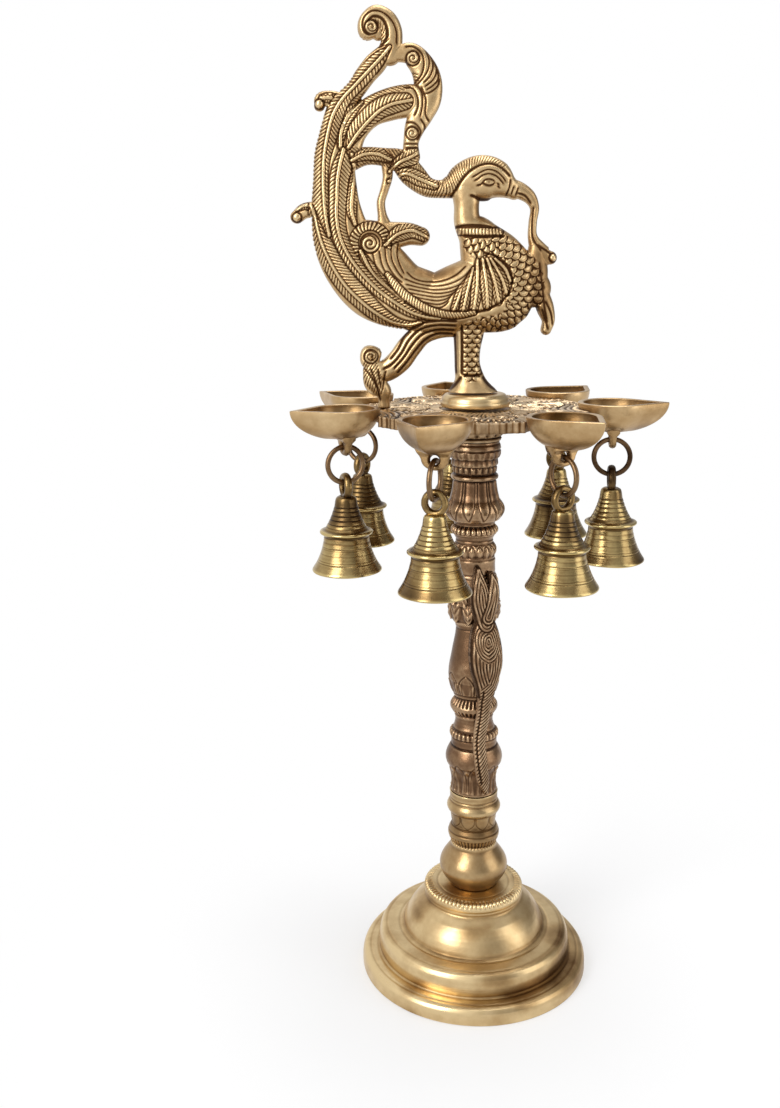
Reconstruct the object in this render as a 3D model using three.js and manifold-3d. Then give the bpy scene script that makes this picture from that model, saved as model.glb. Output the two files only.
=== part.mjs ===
// Standing oil lamp in cast brass: a stepped foot, a screwed column of turned and carved
// segments, a tray with seven spouted oil cups and hanging bells, and an openwork peacock.
// Millimetres, +Z up. The origin is the centre of the foot's underside. The peacock lies in
// the XZ plane and looks to +X. Azimuths turn from -Y (the front) towards +X.
import * as THREE from 'three';
import * as BufferGeometryUtils from 'three/addons/utils/BufferGeometryUtils.js';
import Module from 'manifold-3d';

const wasm = await Module();
wasm.setup();

// Driving dimensions. The heights of the parts of the lamp are shares of the whole.
const TOTAL_HEIGHT = 450;
const FOOT_HEIGHT = 0.09 * TOTAL_HEIGHT;
const LOWER_LENGTH = 0.106 * TOTAL_HEIGHT; // the three segments of the column
const MIDDLE_LENGTH = 0.187 * TOTAL_HEIGHT;
const UPPER_LENGTH = 0.1905 * TOTAL_HEIGHT;
const TRAY_DEPTH = 0.0338 * TOTAL_HEIGHT;
const TRAY_EDGE = TRAY_DEPTH / 3; // thickness of the tray's rim
const TRAY_RELIEF = 0.8; // the leaves and the rim stand this much above the tray's ground
const STAND_HEIGHT = 0.0133 * TOTAL_HEIGHT;
const FOOT_RADIUS = 54.4;
const COLUMN_RADIUS = 12;
const TIP_RADIUS = 87.5; // spout tips, 175 across
const CUP_COUNT = 7;
const FIRST_CUP = 83.5; // azimuth of the first cup in degrees
const CUP_RADIUS = 0.18 * TIP_RADIUS;
const CUP_ORBIT = TIP_RADIUS - 1.6 * CUP_RADIUS; // cup, ring and bell centres lie on it
const CUP_DEPTH = 0.83 * CUP_RADIUS;
const CUP_WALL = 1.6;
const BOWL_BREAK = 0.45; // share of the depth at which the bowl turns in to its floor
const CUP_RIM_RISE = 2.5; // the rims stand above the tray
const TRAY_RADIUS = CUP_ORBIT - 0.65 * CUP_RADIUS;
const STAND_RADIUS = 15.8;
const RING_RADIUS = 8.1; // to the middle of the wire
const WIRE_RADIUS = 1.15;
const BELL_LENGTH = 40; // from the ring wire down to the mouth
const BELL_MOUTH_RADIUS = 0.39 * BELL_LENGTH;

// Fits
const GAP = 0.3; // between fixed pieces that meet
const RUNNING = 0.45; // between a wire and the hole or eye that hangs on it

// Screwed joints
const SPIGOT_RADIUS = 4.6;
const SPIGOT_LENGTH = 11;
const SOCKET_RADIUS = SPIGOT_RADIUS + GAP;
const SOCKET_DEPTH = SPIGOT_LENGTH + GAP;

// Heights that follow, from the ground up
const LOWER_BOTTOM = FOOT_HEIGHT + GAP;
const MIDDLE_BOTTOM = LOWER_BOTTOM + LOWER_LENGTH + GAP;
const UPPER_BOTTOM = MIDDLE_BOTTOM + MIDDLE_LENGTH + GAP;
const COLUMN_TOP = UPPER_BOTTOM + UPPER_LENGTH;
const TRAY_TOP = COLUMN_TOP + GAP + TRAY_DEPTH;
const TRAY_FACE = TRAY_TOP - TRAY_RELIEF;
const STAND_Z = TRAY_TOP + GAP;
const STAND_TOP = STAND_Z + STAND_HEIGHT;
const PEACOCK_HEIGHT = TOTAL_HEIGHT - STAND_TOP;
const CUP_RIM_Z = TRAY_TOP + CUP_RIM_RISE;
const CUP_FLOOR_Z = CUP_RIM_Z - CUP_DEPTH;
const LUG_HOLE_Z = CUP_FLOOR_Z - 4; // height of the wire where it passes through a lug
const RING_CENTRE_Z = LUG_HOLE_Z - RING_RADIUS;
const BELL_PIVOT_Z = RING_CENTRE_Z - RING_RADIUS; // wire at the lowest point of a ring

const lamp = new THREE.Group();
const rad = THREE.MathUtils.degToRad;

// Materials
function metal(color, roughness, metalness = 1) {
  return new THREE.MeshStandardMaterial({ color, roughness, metalness });
}
const polishedBrass = () => metal(0xc8a060, 0.32);
const goldBrass = () => metal(0xb98a3e, 0.42);
const darkBronze = () => metal(0x5a3e24, 0.5);
const bellBrass = () => metal(0x9c8436, 0.4);
const steel = () => metal(0x8a8a86, 0.45);

// Closed meshes and solids
function closedGeometry(geometry) {
  let bare = geometry.clone();
  for (const name of ['normal', 'uv', 'color']) bare.deleteAttribute(name);
  bare.clearGroups();
  if (!bare.index) bare = BufferGeometryUtils.mergeVertices(bare, 1e-5);
  bare = BufferGeometryUtils.mergeVertices(bare, 1e-4);
  const position = bare.attributes.position;
  const kept = [];
  let volume = 0;
  const a = new THREE.Vector3();
  const b = new THREE.Vector3();
  const c = new THREE.Vector3();
  for (let i = 0; i < bare.index.count; i += 3) {
    const [p, q, r] = [0, 1, 2].map((k) => bare.index.getX(i + k));
    if (p === q || q === r || r === p) continue;
    kept.push([p, q, r]);
    a.fromBufferAttribute(position, p);
    b.fromBufferAttribute(position, q);
    c.fromBufferAttribute(position, r);
    volume += a.dot(b.cross(c)) / 6;
  }
  if (volume < 0) for (const face of kept) face.reverse();
  bare.setIndex(kept.flat());
  return bare;
}

function solid(geometry) {
  const bare = closedGeometry(geometry);
  return new wasm.Manifold(new wasm.Mesh({
    numProp: 3,
    vertProperties: new Float32Array(bare.attributes.position.array),
    triVerts: new Uint32Array(bare.index.array),
  }));
}

function geometryOf(body) {
  const mesh = body.getMesh();
  const geometry = new THREE.BufferGeometry();
  geometry.setAttribute('position', new THREE.BufferAttribute(mesh.vertProperties, 3));
  geometry.setIndex(new THREE.BufferAttribute(mesh.triVerts, 1));
  return geometry;
}

function join(bodies) {
  return bodies.reduce((whole, body) => whole.add(body));
}

function cut(body, tools) {
  return tools.reduce((rest, tool) => rest.subtract(tool), body);
}

function addPiece(name, body, material, parent = lamp) {
  const mesh = new THREE.Mesh(geometryOf(body), material);
  mesh.name = name;
  parent.add(mesh);
  return mesh;
}

// Turned bodies. A profile is a list of [radius, height] points.
function turned(profile, segments) {
  const points = profile.map(([r, z]) => new THREE.Vector2(r, z));
  return solid(new THREE.LatheGeometry(points, segments).rotateX(Math.PI / 2));
}

function rod(radius, zLow, zHigh, sides) {
  return turned([[0, zLow], [radius, zLow], [radius, zHigh], [0, zHigh]], sides);
}

// A convex (or with a negative bulge hollow) moulding between two heights
function moulding(zLow, zHigh, radius, bulge, steps = 3) {
  return Array.from({ length: steps + 1 }, (_, i) => {
    const t = i / steps;
    return [radius + bulge * Math.sin(Math.PI * t), zLow + (zHigh - zLow) * t];
  });
}

// A body through rings of equally many points, closed with a flat fan at each end
function lofted(rings) {
  const count = rings[0].length;
  const positions = rings.flat().flatMap((p) => [p.x, p.y, p.z]);
  const faces = [];
  for (let i = 0; i < rings.length - 1; i += 1) {
    for (let k = 0; k < count; k += 1) {
      const next = (k + 1) % count;
      const [a, b] = [i * count + k, i * count + next];
      faces.push(a, b, b + count, a, b + count, a + count);
    }
  }
  for (const [ring, first, flip] of [
    [rings[0], 0, true],
    [rings[rings.length - 1], (rings.length - 1) * count, false],
  ]) {
    const centre = ring.reduce((sum, p) => sum.add(p), new THREE.Vector3()).divideScalar(count);
    const middle = positions.length / 3;
    positions.push(centre.x, centre.y, centre.z);
    for (let k = 0; k < count; k += 1) {
      const [a, b] = [first + k, first + ((k + 1) % count)];
      faces.push(...(flip ? [b, a, middle] : [a, b, middle]));
    }
  }
  const geometry = new THREE.BufferGeometry();
  geometry.setAttribute('position', new THREE.Float32BufferAttribute(positions, 3));
  geometry.setIndex(faces);
  return solid(geometry);
}

// A cast strand in the XZ plane. Each point is [x, z, half width, half depth, y]; the spine,
// width and depth run smoothly through the points, the section is an ellipse, the ends are
// round.
function strand(points, sides = 6) {
  const spine = new THREE.CatmullRomCurve3(
    points.map(([x, z, , , y = 0]) => new THREE.Vector3(x, y, z)), false, 'centripetal');
  const size = new THREE.CatmullRomCurve3(
    points.map(([, , w, t]) => new THREE.Vector3(w, t, 0)), false, 'centripetal');
  const steps = points.length - 1;
  const stations = [];
  for (let i = 0; i <= steps; i += 1) {
    const at = spine.getPoint(i / steps);
    const along = spine.getTangent(i / steps).setY(0).normalize();
    const { x: w, y: t } = size.getPoint(i / steps);
    stations.push({ at, along, w, t });
  }
  const [first, last] = [stations[0], stations[stations.length - 1]];
  const roundEnd = (end, sign) => [0.75].map((s) => ({
    at: end.at.clone().addScaledVector(end.along, sign * s * end.w),
    along: end.along,
    w: end.w * Math.sqrt(1 - s * s),
    t: end.t * Math.sqrt(1 - s * s),
  }));
  const all = [...roundEnd(first, -1).reverse(), ...stations, ...roundEnd(last, 1)];
  return lofted(all.map(({ at, along, w, t }) => {
    const across = new THREE.Vector3(along.z, 0, -along.x);
    return Array.from({ length: sides }, (_, k) => {
      const a = (2 * Math.PI * k) / sides;
      return at.clone().addScaledVector(across, w * Math.cos(a)).setY(at.y + t * Math.sin(a));
    });
  }));
}

function plate(shape, thickness, curveSegments) {
  return solid(new THREE.ExtrudeGeometry(shape, {
    depth: thickness, bevelEnabled: false, curveSegments,
  }).translate(0, 0, -thickness / 2));
}

function block(sizeX, sizeY, sizeZ, x, y, z) {
  return solid(new THREE.BoxGeometry(sizeX, sizeY, sizeZ).translate(x, y, z));
}

// Foot: a hollow casting with a rim, a second step, a dome and a collar ring
// Outside and inside of the foot, in per cent of its radius and of its height
const footOutside = [
  [100, 0], [100, 14], [97.8, 17.5], [84.4, 19.5], [84.9, 32], [83.5, 42], [80.9, 46],
  [62.5, 48.5], [59.9, 59.5], [55.5, 69], [49.6, 77.5], [43, 85.5], [43.9, 90.5],
  [43.9, 97.5], [42.6, 100],
];
const FOOT_SEAT = 84; // flat inside face that the washer bears on
const footInside = [[38, FOOT_SEAT], [49, 67], [56, 40], [77, 36], [78, 15], [93.8, 9], [93.8, 0]];
const FOOT_SEAT_Z = (FOOT_SEAT / 100) * FOOT_HEIGHT;
function foot() {
  const scaled = (points) => points.map(([r, z]) => [
    (r / 100) * FOOT_RADIUS, (z / 100) * FOOT_HEIGHT]);
  const profile = [
    ...scaled(footOutside), [SOCKET_RADIUS, FOOT_HEIGHT], [SOCKET_RADIUS, FOOT_SEAT_Z],
    ...scaled(footInside),
  ];
  return turned([...profile, profile[0]], 24);
}
const WASHER_RADIUS = 13;
const WASHER_THICKNESS = 2;
const NUT_HEIGHT = 6;
function washer(radius, thickness, zTop) {
  const profile = [
    [SOCKET_RADIUS, zTop - thickness], [radius, zTop - thickness], [radius, zTop],
    [SOCKET_RADIUS, zTop],
  ];
  return turned([...profile, profile[0]], 14);
}
function nut(zTop) {
  const outside = rod(9, zTop - NUT_HEIGHT, zTop, 6);
  return outside.subtract(rod(SOCKET_RADIUS, zTop - NUT_HEIGHT - 1, zTop + 1, 16));
}

// Column: three segments, each with a spigot above that screws into the next one's socket
const COLUMN_SIDES = 12;
// Profiles in per cent of the column's radius and of the segment's length
const columnLower = segmentProfile(LOWER_BOTTOM, LOWER_LENGTH, [
  ...moulding(0, 41.5, 95, 41, 4), [91, 43], ...moulding(45.5, 63.5, 91, 12.5, 2),
  [88.5, 65.5], [90, 70.5], ...moulding(75, 88.5, 97.5, 10, 2), [96, 91.5], [96, 100],
]);
const columnMiddle = segmentProfile(MIDDLE_BOTTOM, MIDDLE_LENGTH, [
  [93.5, 0], [88.5, 2], [88.5, 8], [96.5, 11.5], ...moulding(14, 26.5, 100, 12.5),
  [91, 27.5], [91, 33], [96.5, 33.5], [96.5, 36], [83.5, 37], [76, 40], [73.5, 43],
  [78.5, 45.5], ...moulding(47, 54.5, 80, 14, 2), [75, 55.5], [82.5, 57.5], [95, 62.5],
  [101.5, 68], [100, 72.5], [93.5, 78.5], [85, 85], [75, 92], [72.5, 95.5], [76.5, 100],
]);
const columnUpper = segmentProfile(UPPER_BOTTOM, UPPER_LENGTH, [
  [86.5, 0], [95, 4.5], [96, 9], [91, 16], [91, 20.5], [81.5, 27], [81.5, 36], [78.5, 37],
  ...moulding(37.5, 43.5, 78.5, 7.5, 2), [73.5, 44.5], [71.5, 47],
  ...moulding(48, 54.5, 76.5, 12.5, 2), [83.5, 55.5], ...moulding(57, 68.5, 98.5, 19, 4),
  [90, 71.5], [85, 75.5], [85, 78.5], [92, 80.5], [85, 83],
  [90, 88.5], [86.5, 90.5], [100, 92], [101.5, 97], [95, 98.5], [95, 100],
]);
function segmentProfile(bottom, length, points) {
  return points.map(([r, z]) => [(r / 100) * COLUMN_RADIUS, bottom + (z / 100) * length]);
}
function columnSegment(profile, socketDepth, spigotRadius, spigotLength) {
  const [bottom, top] = [profile[0][1], profile[profile.length - 1][1]];
  const body = turned([[0, bottom], ...profile, [0, top]], COLUMN_SIDES);
  const spigot = rod(spigotRadius, top - 1, top + spigotLength, 12);
  const whole = body.add(spigot);
  if (socketDepth === 0) return whole;
  return whole.subtract(rod(SOCKET_RADIUS, bottom - 1, bottom + socketDepth, 12));
}
const FOOT_STUD_END = FOOT_SEAT_Z - GAP - WASHER_THICKNESS - GAP - NUT_HEIGHT - 3;
const TRAY_SPIGOT = STAND_Z + STAND_HEIGHT / 2 - COLUMN_TOP; // passes the tray and screws into the stand

addPiece('base', foot(), polishedBrass());
addPiece('base_washer', washer(WASHER_RADIUS, WASHER_THICKNESS, FOOT_SEAT_Z - GAP), steel());
addPiece('base_nut', nut(FOOT_SEAT_Z - WASHER_THICKNESS - 2 * GAP), steel());
addPiece('column_lower',
  columnSegment(columnLower, 0, SPIGOT_RADIUS, SPIGOT_LENGTH)
    .add(rod(SPIGOT_RADIUS, FOOT_STUD_END, LOWER_BOTTOM + 1, 12)),
  polishedBrass());
addPiece('column_middle',
  columnSegment(columnMiddle, SOCKET_DEPTH, SPIGOT_RADIUS, SPIGOT_LENGTH), darkBronze());
addPiece('column_upper',
  columnSegment(columnUpper, SOCKET_DEPTH, SPIGOT_RADIUS, TRAY_SPIGOT), darkBronze());

// Small bird on the column, its back outwards and its long tail hanging down
const BIRD_AZIMUTH = 21;
// Points are [across, height in per cent of the middle segment, half width, half depth, y]
const birdStrands = {
  body: [[0, 107, 4, 2.6, -10.4], [0, 96, 7.2, 4, -11.2], [0, 79.5, 8.2, 4.6, -12.8],
    [0, 63, 4.6, 3.2, -12.4]],
  neck: [[0, 103, 4.6, 3, -10.8], [-2.6, 119, 4.8, 3, -11.2], [-3.4, 132.5, 1.8, 1.6, -10.6]],
  head: [[1, 106, 4, 3, -11], [4, 120, 3.2, 2.6, -11.2], [3.2, 129.5, 1.6, 1.6, -10.8]],
  tail: [[0, 65, 3.8, 2.6, -12.4], [-0.8, 51, 3.5, 2, -12], [-2.8, 28, 3.3, 2, -12.8],
    [-0.8, 9.5, 3, 2, -12.4], [0.6, 3.5, 1.4, 1.4, -11.6]],
};
function columnBird() {
  const grown = [...columnMiddle, ...columnUpper].map(([r, z]) => [r + GAP, z]);
  const column = turned([[0, grown[0][1]], ...grown, [0, grown[grown.length - 1][1]]],
    COLUMN_SIDES);
  const wide = COLUMN_RADIUS / 12; // the bird is drawn on a column of this radius
  const figure = join(Object.values(birdStrands).map((points) => strand(points.map(
    ([x, z, w, t, y]) => [
      x * wide, MIDDLE_BOTTOM + (z / 100) * MIDDLE_LENGTH, w * wide, t * wide, y * wide]))));
  return figure.rotate([0, 0, BIRD_AZIMUTH]).subtract(column);
}
addPiece('column_bird', columnBird(), darkBronze());

// Tray: a scalloped plate on a flared hub, cut round to take the cups
function tray() {
  const under = TRAY_TOP - TRAY_EDGE;
  const flare = (share) => COLUMN_TOP + GAP + share * (under - COLUMN_TOP - GAP);
  const hub = [
    [SOCKET_RADIUS, flare(0)], [1.03 * COLUMN_RADIUS, flare(0)],
    [1.12 * COLUMN_RADIUS, flare(0.27)], [1.28 * COLUMN_RADIUS, flare(0.6)],
    [1.75 * COLUMN_RADIUS, flare(0.92)], [2.5 * COLUMN_RADIUS, under],
    [TRAY_RADIUS - 1, under],
    [TRAY_RADIUS, under + 1.4], [TRAY_RADIUS, TRAY_TOP - 1.2], [TRAY_RADIUS - 1, TRAY_FACE],
    [1.3 * STAND_RADIUS, TRAY_FACE], [1.2 * STAND_RADIUS, TRAY_TOP], [SOCKET_RADIUS, TRAY_TOP],
  ];
  const step = 360 / CUP_COUNT;
  const leaf = strand([
    [0, 1.25 * STAND_RADIUS, 0.8, 0.6], [0, 0.6 * TRAY_RADIUS, 4.2, TRAY_RELIEF],
    [0, 0.84 * TRAY_RADIUS, 1, 0.6]], 4).rotate([90, 0, 0]);
  const rosette = turned([[0, -0.6], [2.8, -0.6], [2.8, 0.3], [1.3, TRAY_RELIEF],
    [0, TRAY_RELIEF]], 8).translate([0, -0.915 * TRAY_RADIUS, 0]);
  const reliefs = cupAzimuths().map((azimuth) => leaf.add(rosette)
    .translate([0, 0, TRAY_FACE]).rotate([0, 0, azimuth + step / 2]));
  const narrowing = (1 - bowlRadius(BOWL_BREAK)) / (1 - BOWL_BREAK) / CUP_DEPTH;
  const seatRadius = (z) => CUP_RADIUS * (1 - narrowing * (CUP_RIM_Z - z)) + GAP;
  const seat = turned([[0, under - 1], [seatRadius(under - 1), under - 1],
    [seatRadius(CUP_RIM_Z), CUP_RIM_Z], [0, CUP_RIM_Z]], 20);
  const seats = cupAzimuths().map((azimuth) => (
    seat.translate([0, -CUP_ORBIT, 0]).rotate([0, 0, azimuth])));
  return cut(join([turned([...hub, hub[0]], 35), ...reliefs]), seats);
}
// Radius of a bowl at a share of its depth, as a share of the radius at its rim
function bowlRadius(share) {
  return Math.sqrt(1 - 0.86 * (1 - share) ** 2);
}
function cupAzimuths() {
  return Array.from({ length: CUP_COUNT }, (_, k) => FIRST_CUP + (360 * k) / CUP_COUNT);
}
addPiece('tray', tray(), goldBrass());

// Stand: a plain disc that screws on the tray spigot and carries the peacock's foot
const TENON_RADIUS = 3.4;
const TENON_LENGTH = 2.2;
function stand() {
  const profile = [
    [0, STAND_Z], [STAND_RADIUS, STAND_Z], [STAND_RADIUS, STAND_Z + 0.43 * STAND_HEIGHT],
    [0.94 * STAND_RADIUS, STAND_Z + 0.77 * STAND_HEIGHT], [0.85 * STAND_RADIUS, STAND_TOP],
    [0, STAND_TOP],
  ];
  const socket = rod(SOCKET_RADIUS, STAND_Z - 1, COLUMN_TOP + TRAY_SPIGOT + GAP, 16);
  const mortise = rod(TENON_RADIUS + GAP, STAND_TOP - TENON_LENGTH - GAP, STAND_TOP + 1, 16);
  return cut(turned(profile, 20), [socket, mortise.translate([LEG_X, 0, 0])]);
}
const LEG_X = -3;
addPiece('peacock_stand', stand(), polishedBrass());

// Peacock: strands of an openwork casting. Each spine point is [x, height above the disc,
// half width, half depth], drawn for a figure of this height and scaled to PEACOCK_HEIGHT.
const DRAWN_HEIGHT = 169.2;
const peacockStrands = {
  tail: [[-61.5, 126, 4, 3.2], [-62.5, 118.5, 5.5, 3.6], [-62.5, 108, 8.5, 4],
    [-62.3, 89, 10.3, 4.4], [-59.5, 70.5, 13.2, 5], [-53.5, 59, 15, 6],
    [-43.5, 47.5, 15, 7], [-32, 40.5, 11.5, 8], [-20.5, 39.5, 9, 8.5]],
  tailStem: [[-39, 150, 3.5, 3.4], [-43.5, 145, 4.8, 3.4], [-52.5, 134, 4.4, 3.2],
    [-59.5, 124, 5.4, 3.4]],
  topScroll: [[-37.5, 146.5, 5.5, 3.6], [-37, 152.5, 5, 3.8], [-36.8, 158.5, 4.6, 4],
    [-39.2, 163, 4.4, 4], [-43.6, 165, 4, 4], [-47.5, 161.5, 3.7, 4],
    [-47.3, 157.5, 3.4, 3.8], [-44.5, 157, 2.2, 3.4]],
  scrollWeb: [[-44, 162.5, 4, 2.6], [-42.5, 156.5, 2.5, 2.6]],
  leftCurl: [[-58, 125, 4, 3.2], [-63, 130, 3.4, 3.2], [-67.5, 129.5, 3.3, 3],
    [-68.5, 127, 2.4, 2.8]],
  leftKnob: [[-64.5, 81, 4.5, 3.4], [-74, 82.5, 3.5, 3.4], [-79.4, 79.5, 3, 3]],
  lobe: [[-40, 147, 3, 3.4], [-34, 148.5, 3.5, 3.4], [-28.5, 148.5, 4.8, 3.6],
    [-22.6, 142, 5.7, 3.8], [-21.2, 131.5, 6.4, 3.8], [-25.5, 120, 5, 3.8],
    [-28.5, 111, 3.4, 3.4], [-28.5, 105, 4, 3.4]],
  feather: [[-57, 107, 6, 3.6], [-53.5, 116.5, 6, 3.6], [-46.5, 124, 6.4, 3.6],
    [-35, 128, 7, 3.6], [-24.5, 130, 6, 3.4]],
  branch: [[-56.5, 103.5, 5.2, 3.6], [-40.5, 105, 4, 3.6], [-33, 103, 5.2, 3.8],
    [-28, 97.5, 5.6, 4], [-21.5, 92, 4.4, 4.4], [-10.5, 92, 5.4, 5.6]],
  strut: [[-39, 101, 2.6, 2.8], [-39, 96, 2.2, 2.6], [-42, 85.5, 1.9, 2.5],
    [-40.5, 75, 3.4, 3]],
  backCurl: [[-55, 62, 7, 5], [-51.5, 70, 7.4, 5], [-36.5, 71, 6, 4.6],
    [-24.5, 70.5, 4.2, 4]],
  rump: [[-46, 66, 9, 6], [-39.5, 57.5, 10, 6.5], [-32, 48.5, 11, 7.5],
    [-23, 44, 11.5, 8.5]],
  body: [[-35.5, 42, 11.5, 8], [-21.5, 40, 13, 9.5], [-6, 43, 16, 11],
    [8.5, 46, 18.6, 11], [17.5, 47, 17, 10], [23, 47, 13, 8.5], [25.5, 47, 8.6, 6.5]],
  neck: [[-4, 90.5, 7, 6.5], [-4, 81, 5.6, 6], [0, 71.5, 8.6, 7.5], [5.5, 63, 13.5, 9],
    [11, 54, 16, 10]],
  head: [[-12, 91, 4, 5], [-6, 94, 8, 6.5], [2, 95.5, 10, 7.5], [9, 94.5, 9, 7],
    [14.5, 91.5, 5.2, 5.5], [17, 90, 4, 4.5]],
  beak: [[13.5, 91.5, 4.6, 5], [19.5, 90, 3.8, 3.8], [24, 87, 3, 3.2],
    [26.2, 82.5, 2.1, 2.8], [25.5, 76, 1.9, 2.6], [25.5, 70, 2.2, 2.8],
    [28, 64.5, 3.8, 3.4], [31, 61, 4.4, 3.8], [33.5, 60.5, 3, 3.4]],
  breastKnot: [[27, 64.5, 3.5, 4], [27, 56.5, 5.4, 5.5], [29, 46, 4, 5.5],
    [31.6, 38, 4, 5], [33, 32.5, 3, 4.2], [32, 28.5, 2.5, 3.6]],
  leg: [[-2.5, 36.5, 8, 8], [-3, 27.5, 7, 7], [-3.5, 15, 5.8, 6.1], [-2.5, 6.5, 7, 7],
    [-2, 1.5, 10.5, 9],
    [-1.6, -1.5, 12.4, 10.5]],
  rearStrut: [[-6, 30, 4.5, 5], [-16, 29.5, 4.5, 4.8], [-24, 27, 5, 4.6],
    [-34.5, 15, 5.5, 4.2], [-40.5, 10.5, 5, 4], [-46, 10, 4.5, 4]],
  rearScroll: [[-41.5, 12.5, 3, 3.4], [-45.5, 13, 3, 3.6], [-49, 15, 3, 3.6],
    [-48.5, 19, 3, 3.4], [-45, 18.5, 2.6, 3.2], [-45, 16, 2, 3]],
  rearBud: [[-46, 10.5, 5, 4], [-45.5, 5, 5, 4.2], [-42, 1, 4, 3.8],
    [-41.5, -3, 2.6, 3.2], [-41.5, -9, 2.8, 3.2]],
};
// Ribs that stand proud of the casting on both faces: quills, plumes and bands, as above
const peacockRibs = {
  stemQuill: [[-43, 145.5, 1, 4.3], [-53, 135, 1.4, 4], [-60.5, 125.5, 1.4, 4.2]],
  outerQuill: [[-63.5, 119.5, 1.5, 4.4], [-67.2, 101, 2.1, 4.8], [-65.8, 77, 2.2, 5.4],
    [-54.5, 52.5, 2.2, 7.2], [-35, 36.5, 1.6, 8.4]],
  innerQuill: [[-59.5, 103, 1.2, 4.8], [-60.2, 79, 2.2, 5.7], [-51, 55, 2.2, 7.4],
    [-34, 40, 1.5, 9]],
  leafQuill: [[-53.5, 112, 1.2, 4.3], [-46.5, 120.5, 2.1, 4.4], [-30, 127.5, 2, 4.5]],
  covert: [[-30, 55, 1.2, 7.2], [-16.5, 49, 1.9, 9.8], [-5, 55.5, 1.2, 9.4]],
  plumeBack: [[-0.8, 58, 1, 9.6], [-1.9, 40, 1.8, 11.8]],
  plumeMiddle: [[4.6, 57, 1, 10.5], [4.2, 39.5, 1.8, 11.8]],
  plumeFront: [[9.8, 53.5, 1, 11.2], [10.2, 42, 1.6, 11.8]],
  wingBorder: [[-34, 55, 1.2, 7.6], [-30, 41.5, 1.7, 9.6], [-8.5, 33.4, 1.8, 10.6],
    [7, 36, 1.8, 11], [15, 43.5, 1.3, 11.4]],
  collar: [[-7.5, 72, 1.5, 4.6], [0, 71.6, 1.7, 8.6], [9, 72, 1.5, 7.2]],
  strutRidge: [[-18, 30, 1.2, 6.6], [-26, 26.5, 1.5, 6], [-43, 10.8, 1.2, 5]],
  lobeRidge: [[-27, 149, 0.9, 4.4], [-21.8, 139, 1.3, 4.9], [-24.5, 127, 1, 4.8]],
};
// Round bosses in the eyes of the scrolls and of the head: [x, height, radius, half depth]
const peacockBosses = [
  [-45.5, 159.5, 2.2, 4.4], [-28, 115.5, 2.5, 4.5], [-47, 67.5, 3.9, 7],
  [-47.5, 16.5, 2.3, 4.4], [5.6, 93.6, 1.7, 8.3],
];
const PEACOCK_SCALE = PEACOCK_HEIGHT / DRAWN_HEIGHT;
const REAR_FOOT_LIMIT = -30 * PEACOCK_SCALE; // beyond this x it stands on the tray
function boss(x, z, radius, depth) {
  return rod(radius, -depth, depth, 6).rotate([90, 0, 0]).translate([x, 0, z]);
}
function peacock() {
  const scaled = (values) => values.map((value) => value * PEACOCK_SCALE);
  const drawn = (bands, sides) => Object.values(bands).map(
    (points) => strand(points.map(scaled), sides));
  const figure = join([
    ...drawn(peacockStrands, 6), ...drawn(peacockRibs, 4),
    ...peacockBosses.map((values) => boss(...scaled(values))),
  ]);
  const size = 2 * PEACOCK_HEIGHT;
  const below = (z, side) => block(size, size, size,
    REAR_FOOT_LIMIT + (side * size) / 2, 0, z - size / 2);
  const tenon = rod(TENON_RADIUS, -TENON_LENGTH, 4, 16).translate([LEG_X, 0, 0]);
  return cut(figure, [below(GAP, 1), below(TRAY_FACE + GAP - STAND_TOP, -1)]).add(tenon)
    .translate([0, 0, STAND_TOP]);
}
addPiece('peacock', peacock(), goldBrass());

// Cups: teardrop bowls with a straight-sided spout and a pierced lug below
const LUG_THICKNESS = 3;
const LUG_WEB = 1.7; // metal left below and beside the lug's hole
const LUG_TOP = 7; // half width where it joins the bowl
const LUG_HOLE_RADIUS = WIRE_RADIUS + 1.1;
const LUG_HOLE_CENTRE_Z = LUG_HOLE_Z - WIRE_RADIUS - RUNNING + LUG_HOLE_RADIUS;
const SPOUT_ANGLE = Math.acos(CUP_RADIUS / (TIP_RADIUS - CUP_ORBIT));
const planAngles = (() => {
  const half = [0.4, 1].map((s) => s * SPOUT_ANGLE);
  const round = [1, 2, 3].map((i) => SPOUT_ANGLE + ((Math.PI - SPOUT_ANGLE) * i) / 4);
  const side = [...half, ...round];
  return [0, ...side, Math.PI, ...side.map((a) => -a).reverse()];
})();
function teardrop(radius, z) {
  return planAngles.map((a) => {
    const reach = radius / Math.cos(Math.max(0, SPOUT_ANGLE - Math.abs(a)));
    return new THREE.Vector3(reach * Math.sin(a), -reach * Math.cos(a), z);
  });
}
function cup() {
  const levels = [1, BOWL_BREAK, 0];
  const shell = (radius, depth) => levels.map(
    (k) => teardrop(radius * bowlRadius(k), CUP_RIM_Z - depth * (1 - k)));
  const outer = shell(CUP_RADIUS, CUP_DEPTH);
  const inner = shell(CUP_RADIUS - CUP_WALL, CUP_DEPTH - CUP_WALL);
  const bowl = lofted([...outer.reverse(), ...inner]);
  const radius = LUG_HOLE_RADIUS + LUG_WEB;
  const top = CUP_FLOOR_Z + 1;
  const shape = new THREE.Shape();
  shape.moveTo(-LUG_TOP, top);
  shape.absarc(0, LUG_HOLE_CENTRE_Z, radius, rad(190), rad(350), false);
  shape.lineTo(LUG_TOP, top);
  const lug = plate(shape, LUG_THICKNESS, 4).rotate([90, 0, 0]);
  const cone = turned([[0, LUG_HOLE_CENTRE_Z + 1.2], [2.6, LUG_HOLE_CENTRE_Z + 1.2],
    [5.4, top], [0, top]], 10);
  const hole = rod(LUG_HOLE_RADIUS, -10, 10, 10).rotate([90, 0, 0])
    .translate([0, 0, LUG_HOLE_CENTRE_Z]);
  return bowl.add(lug).add(cone).subtract(hole);
}

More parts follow.
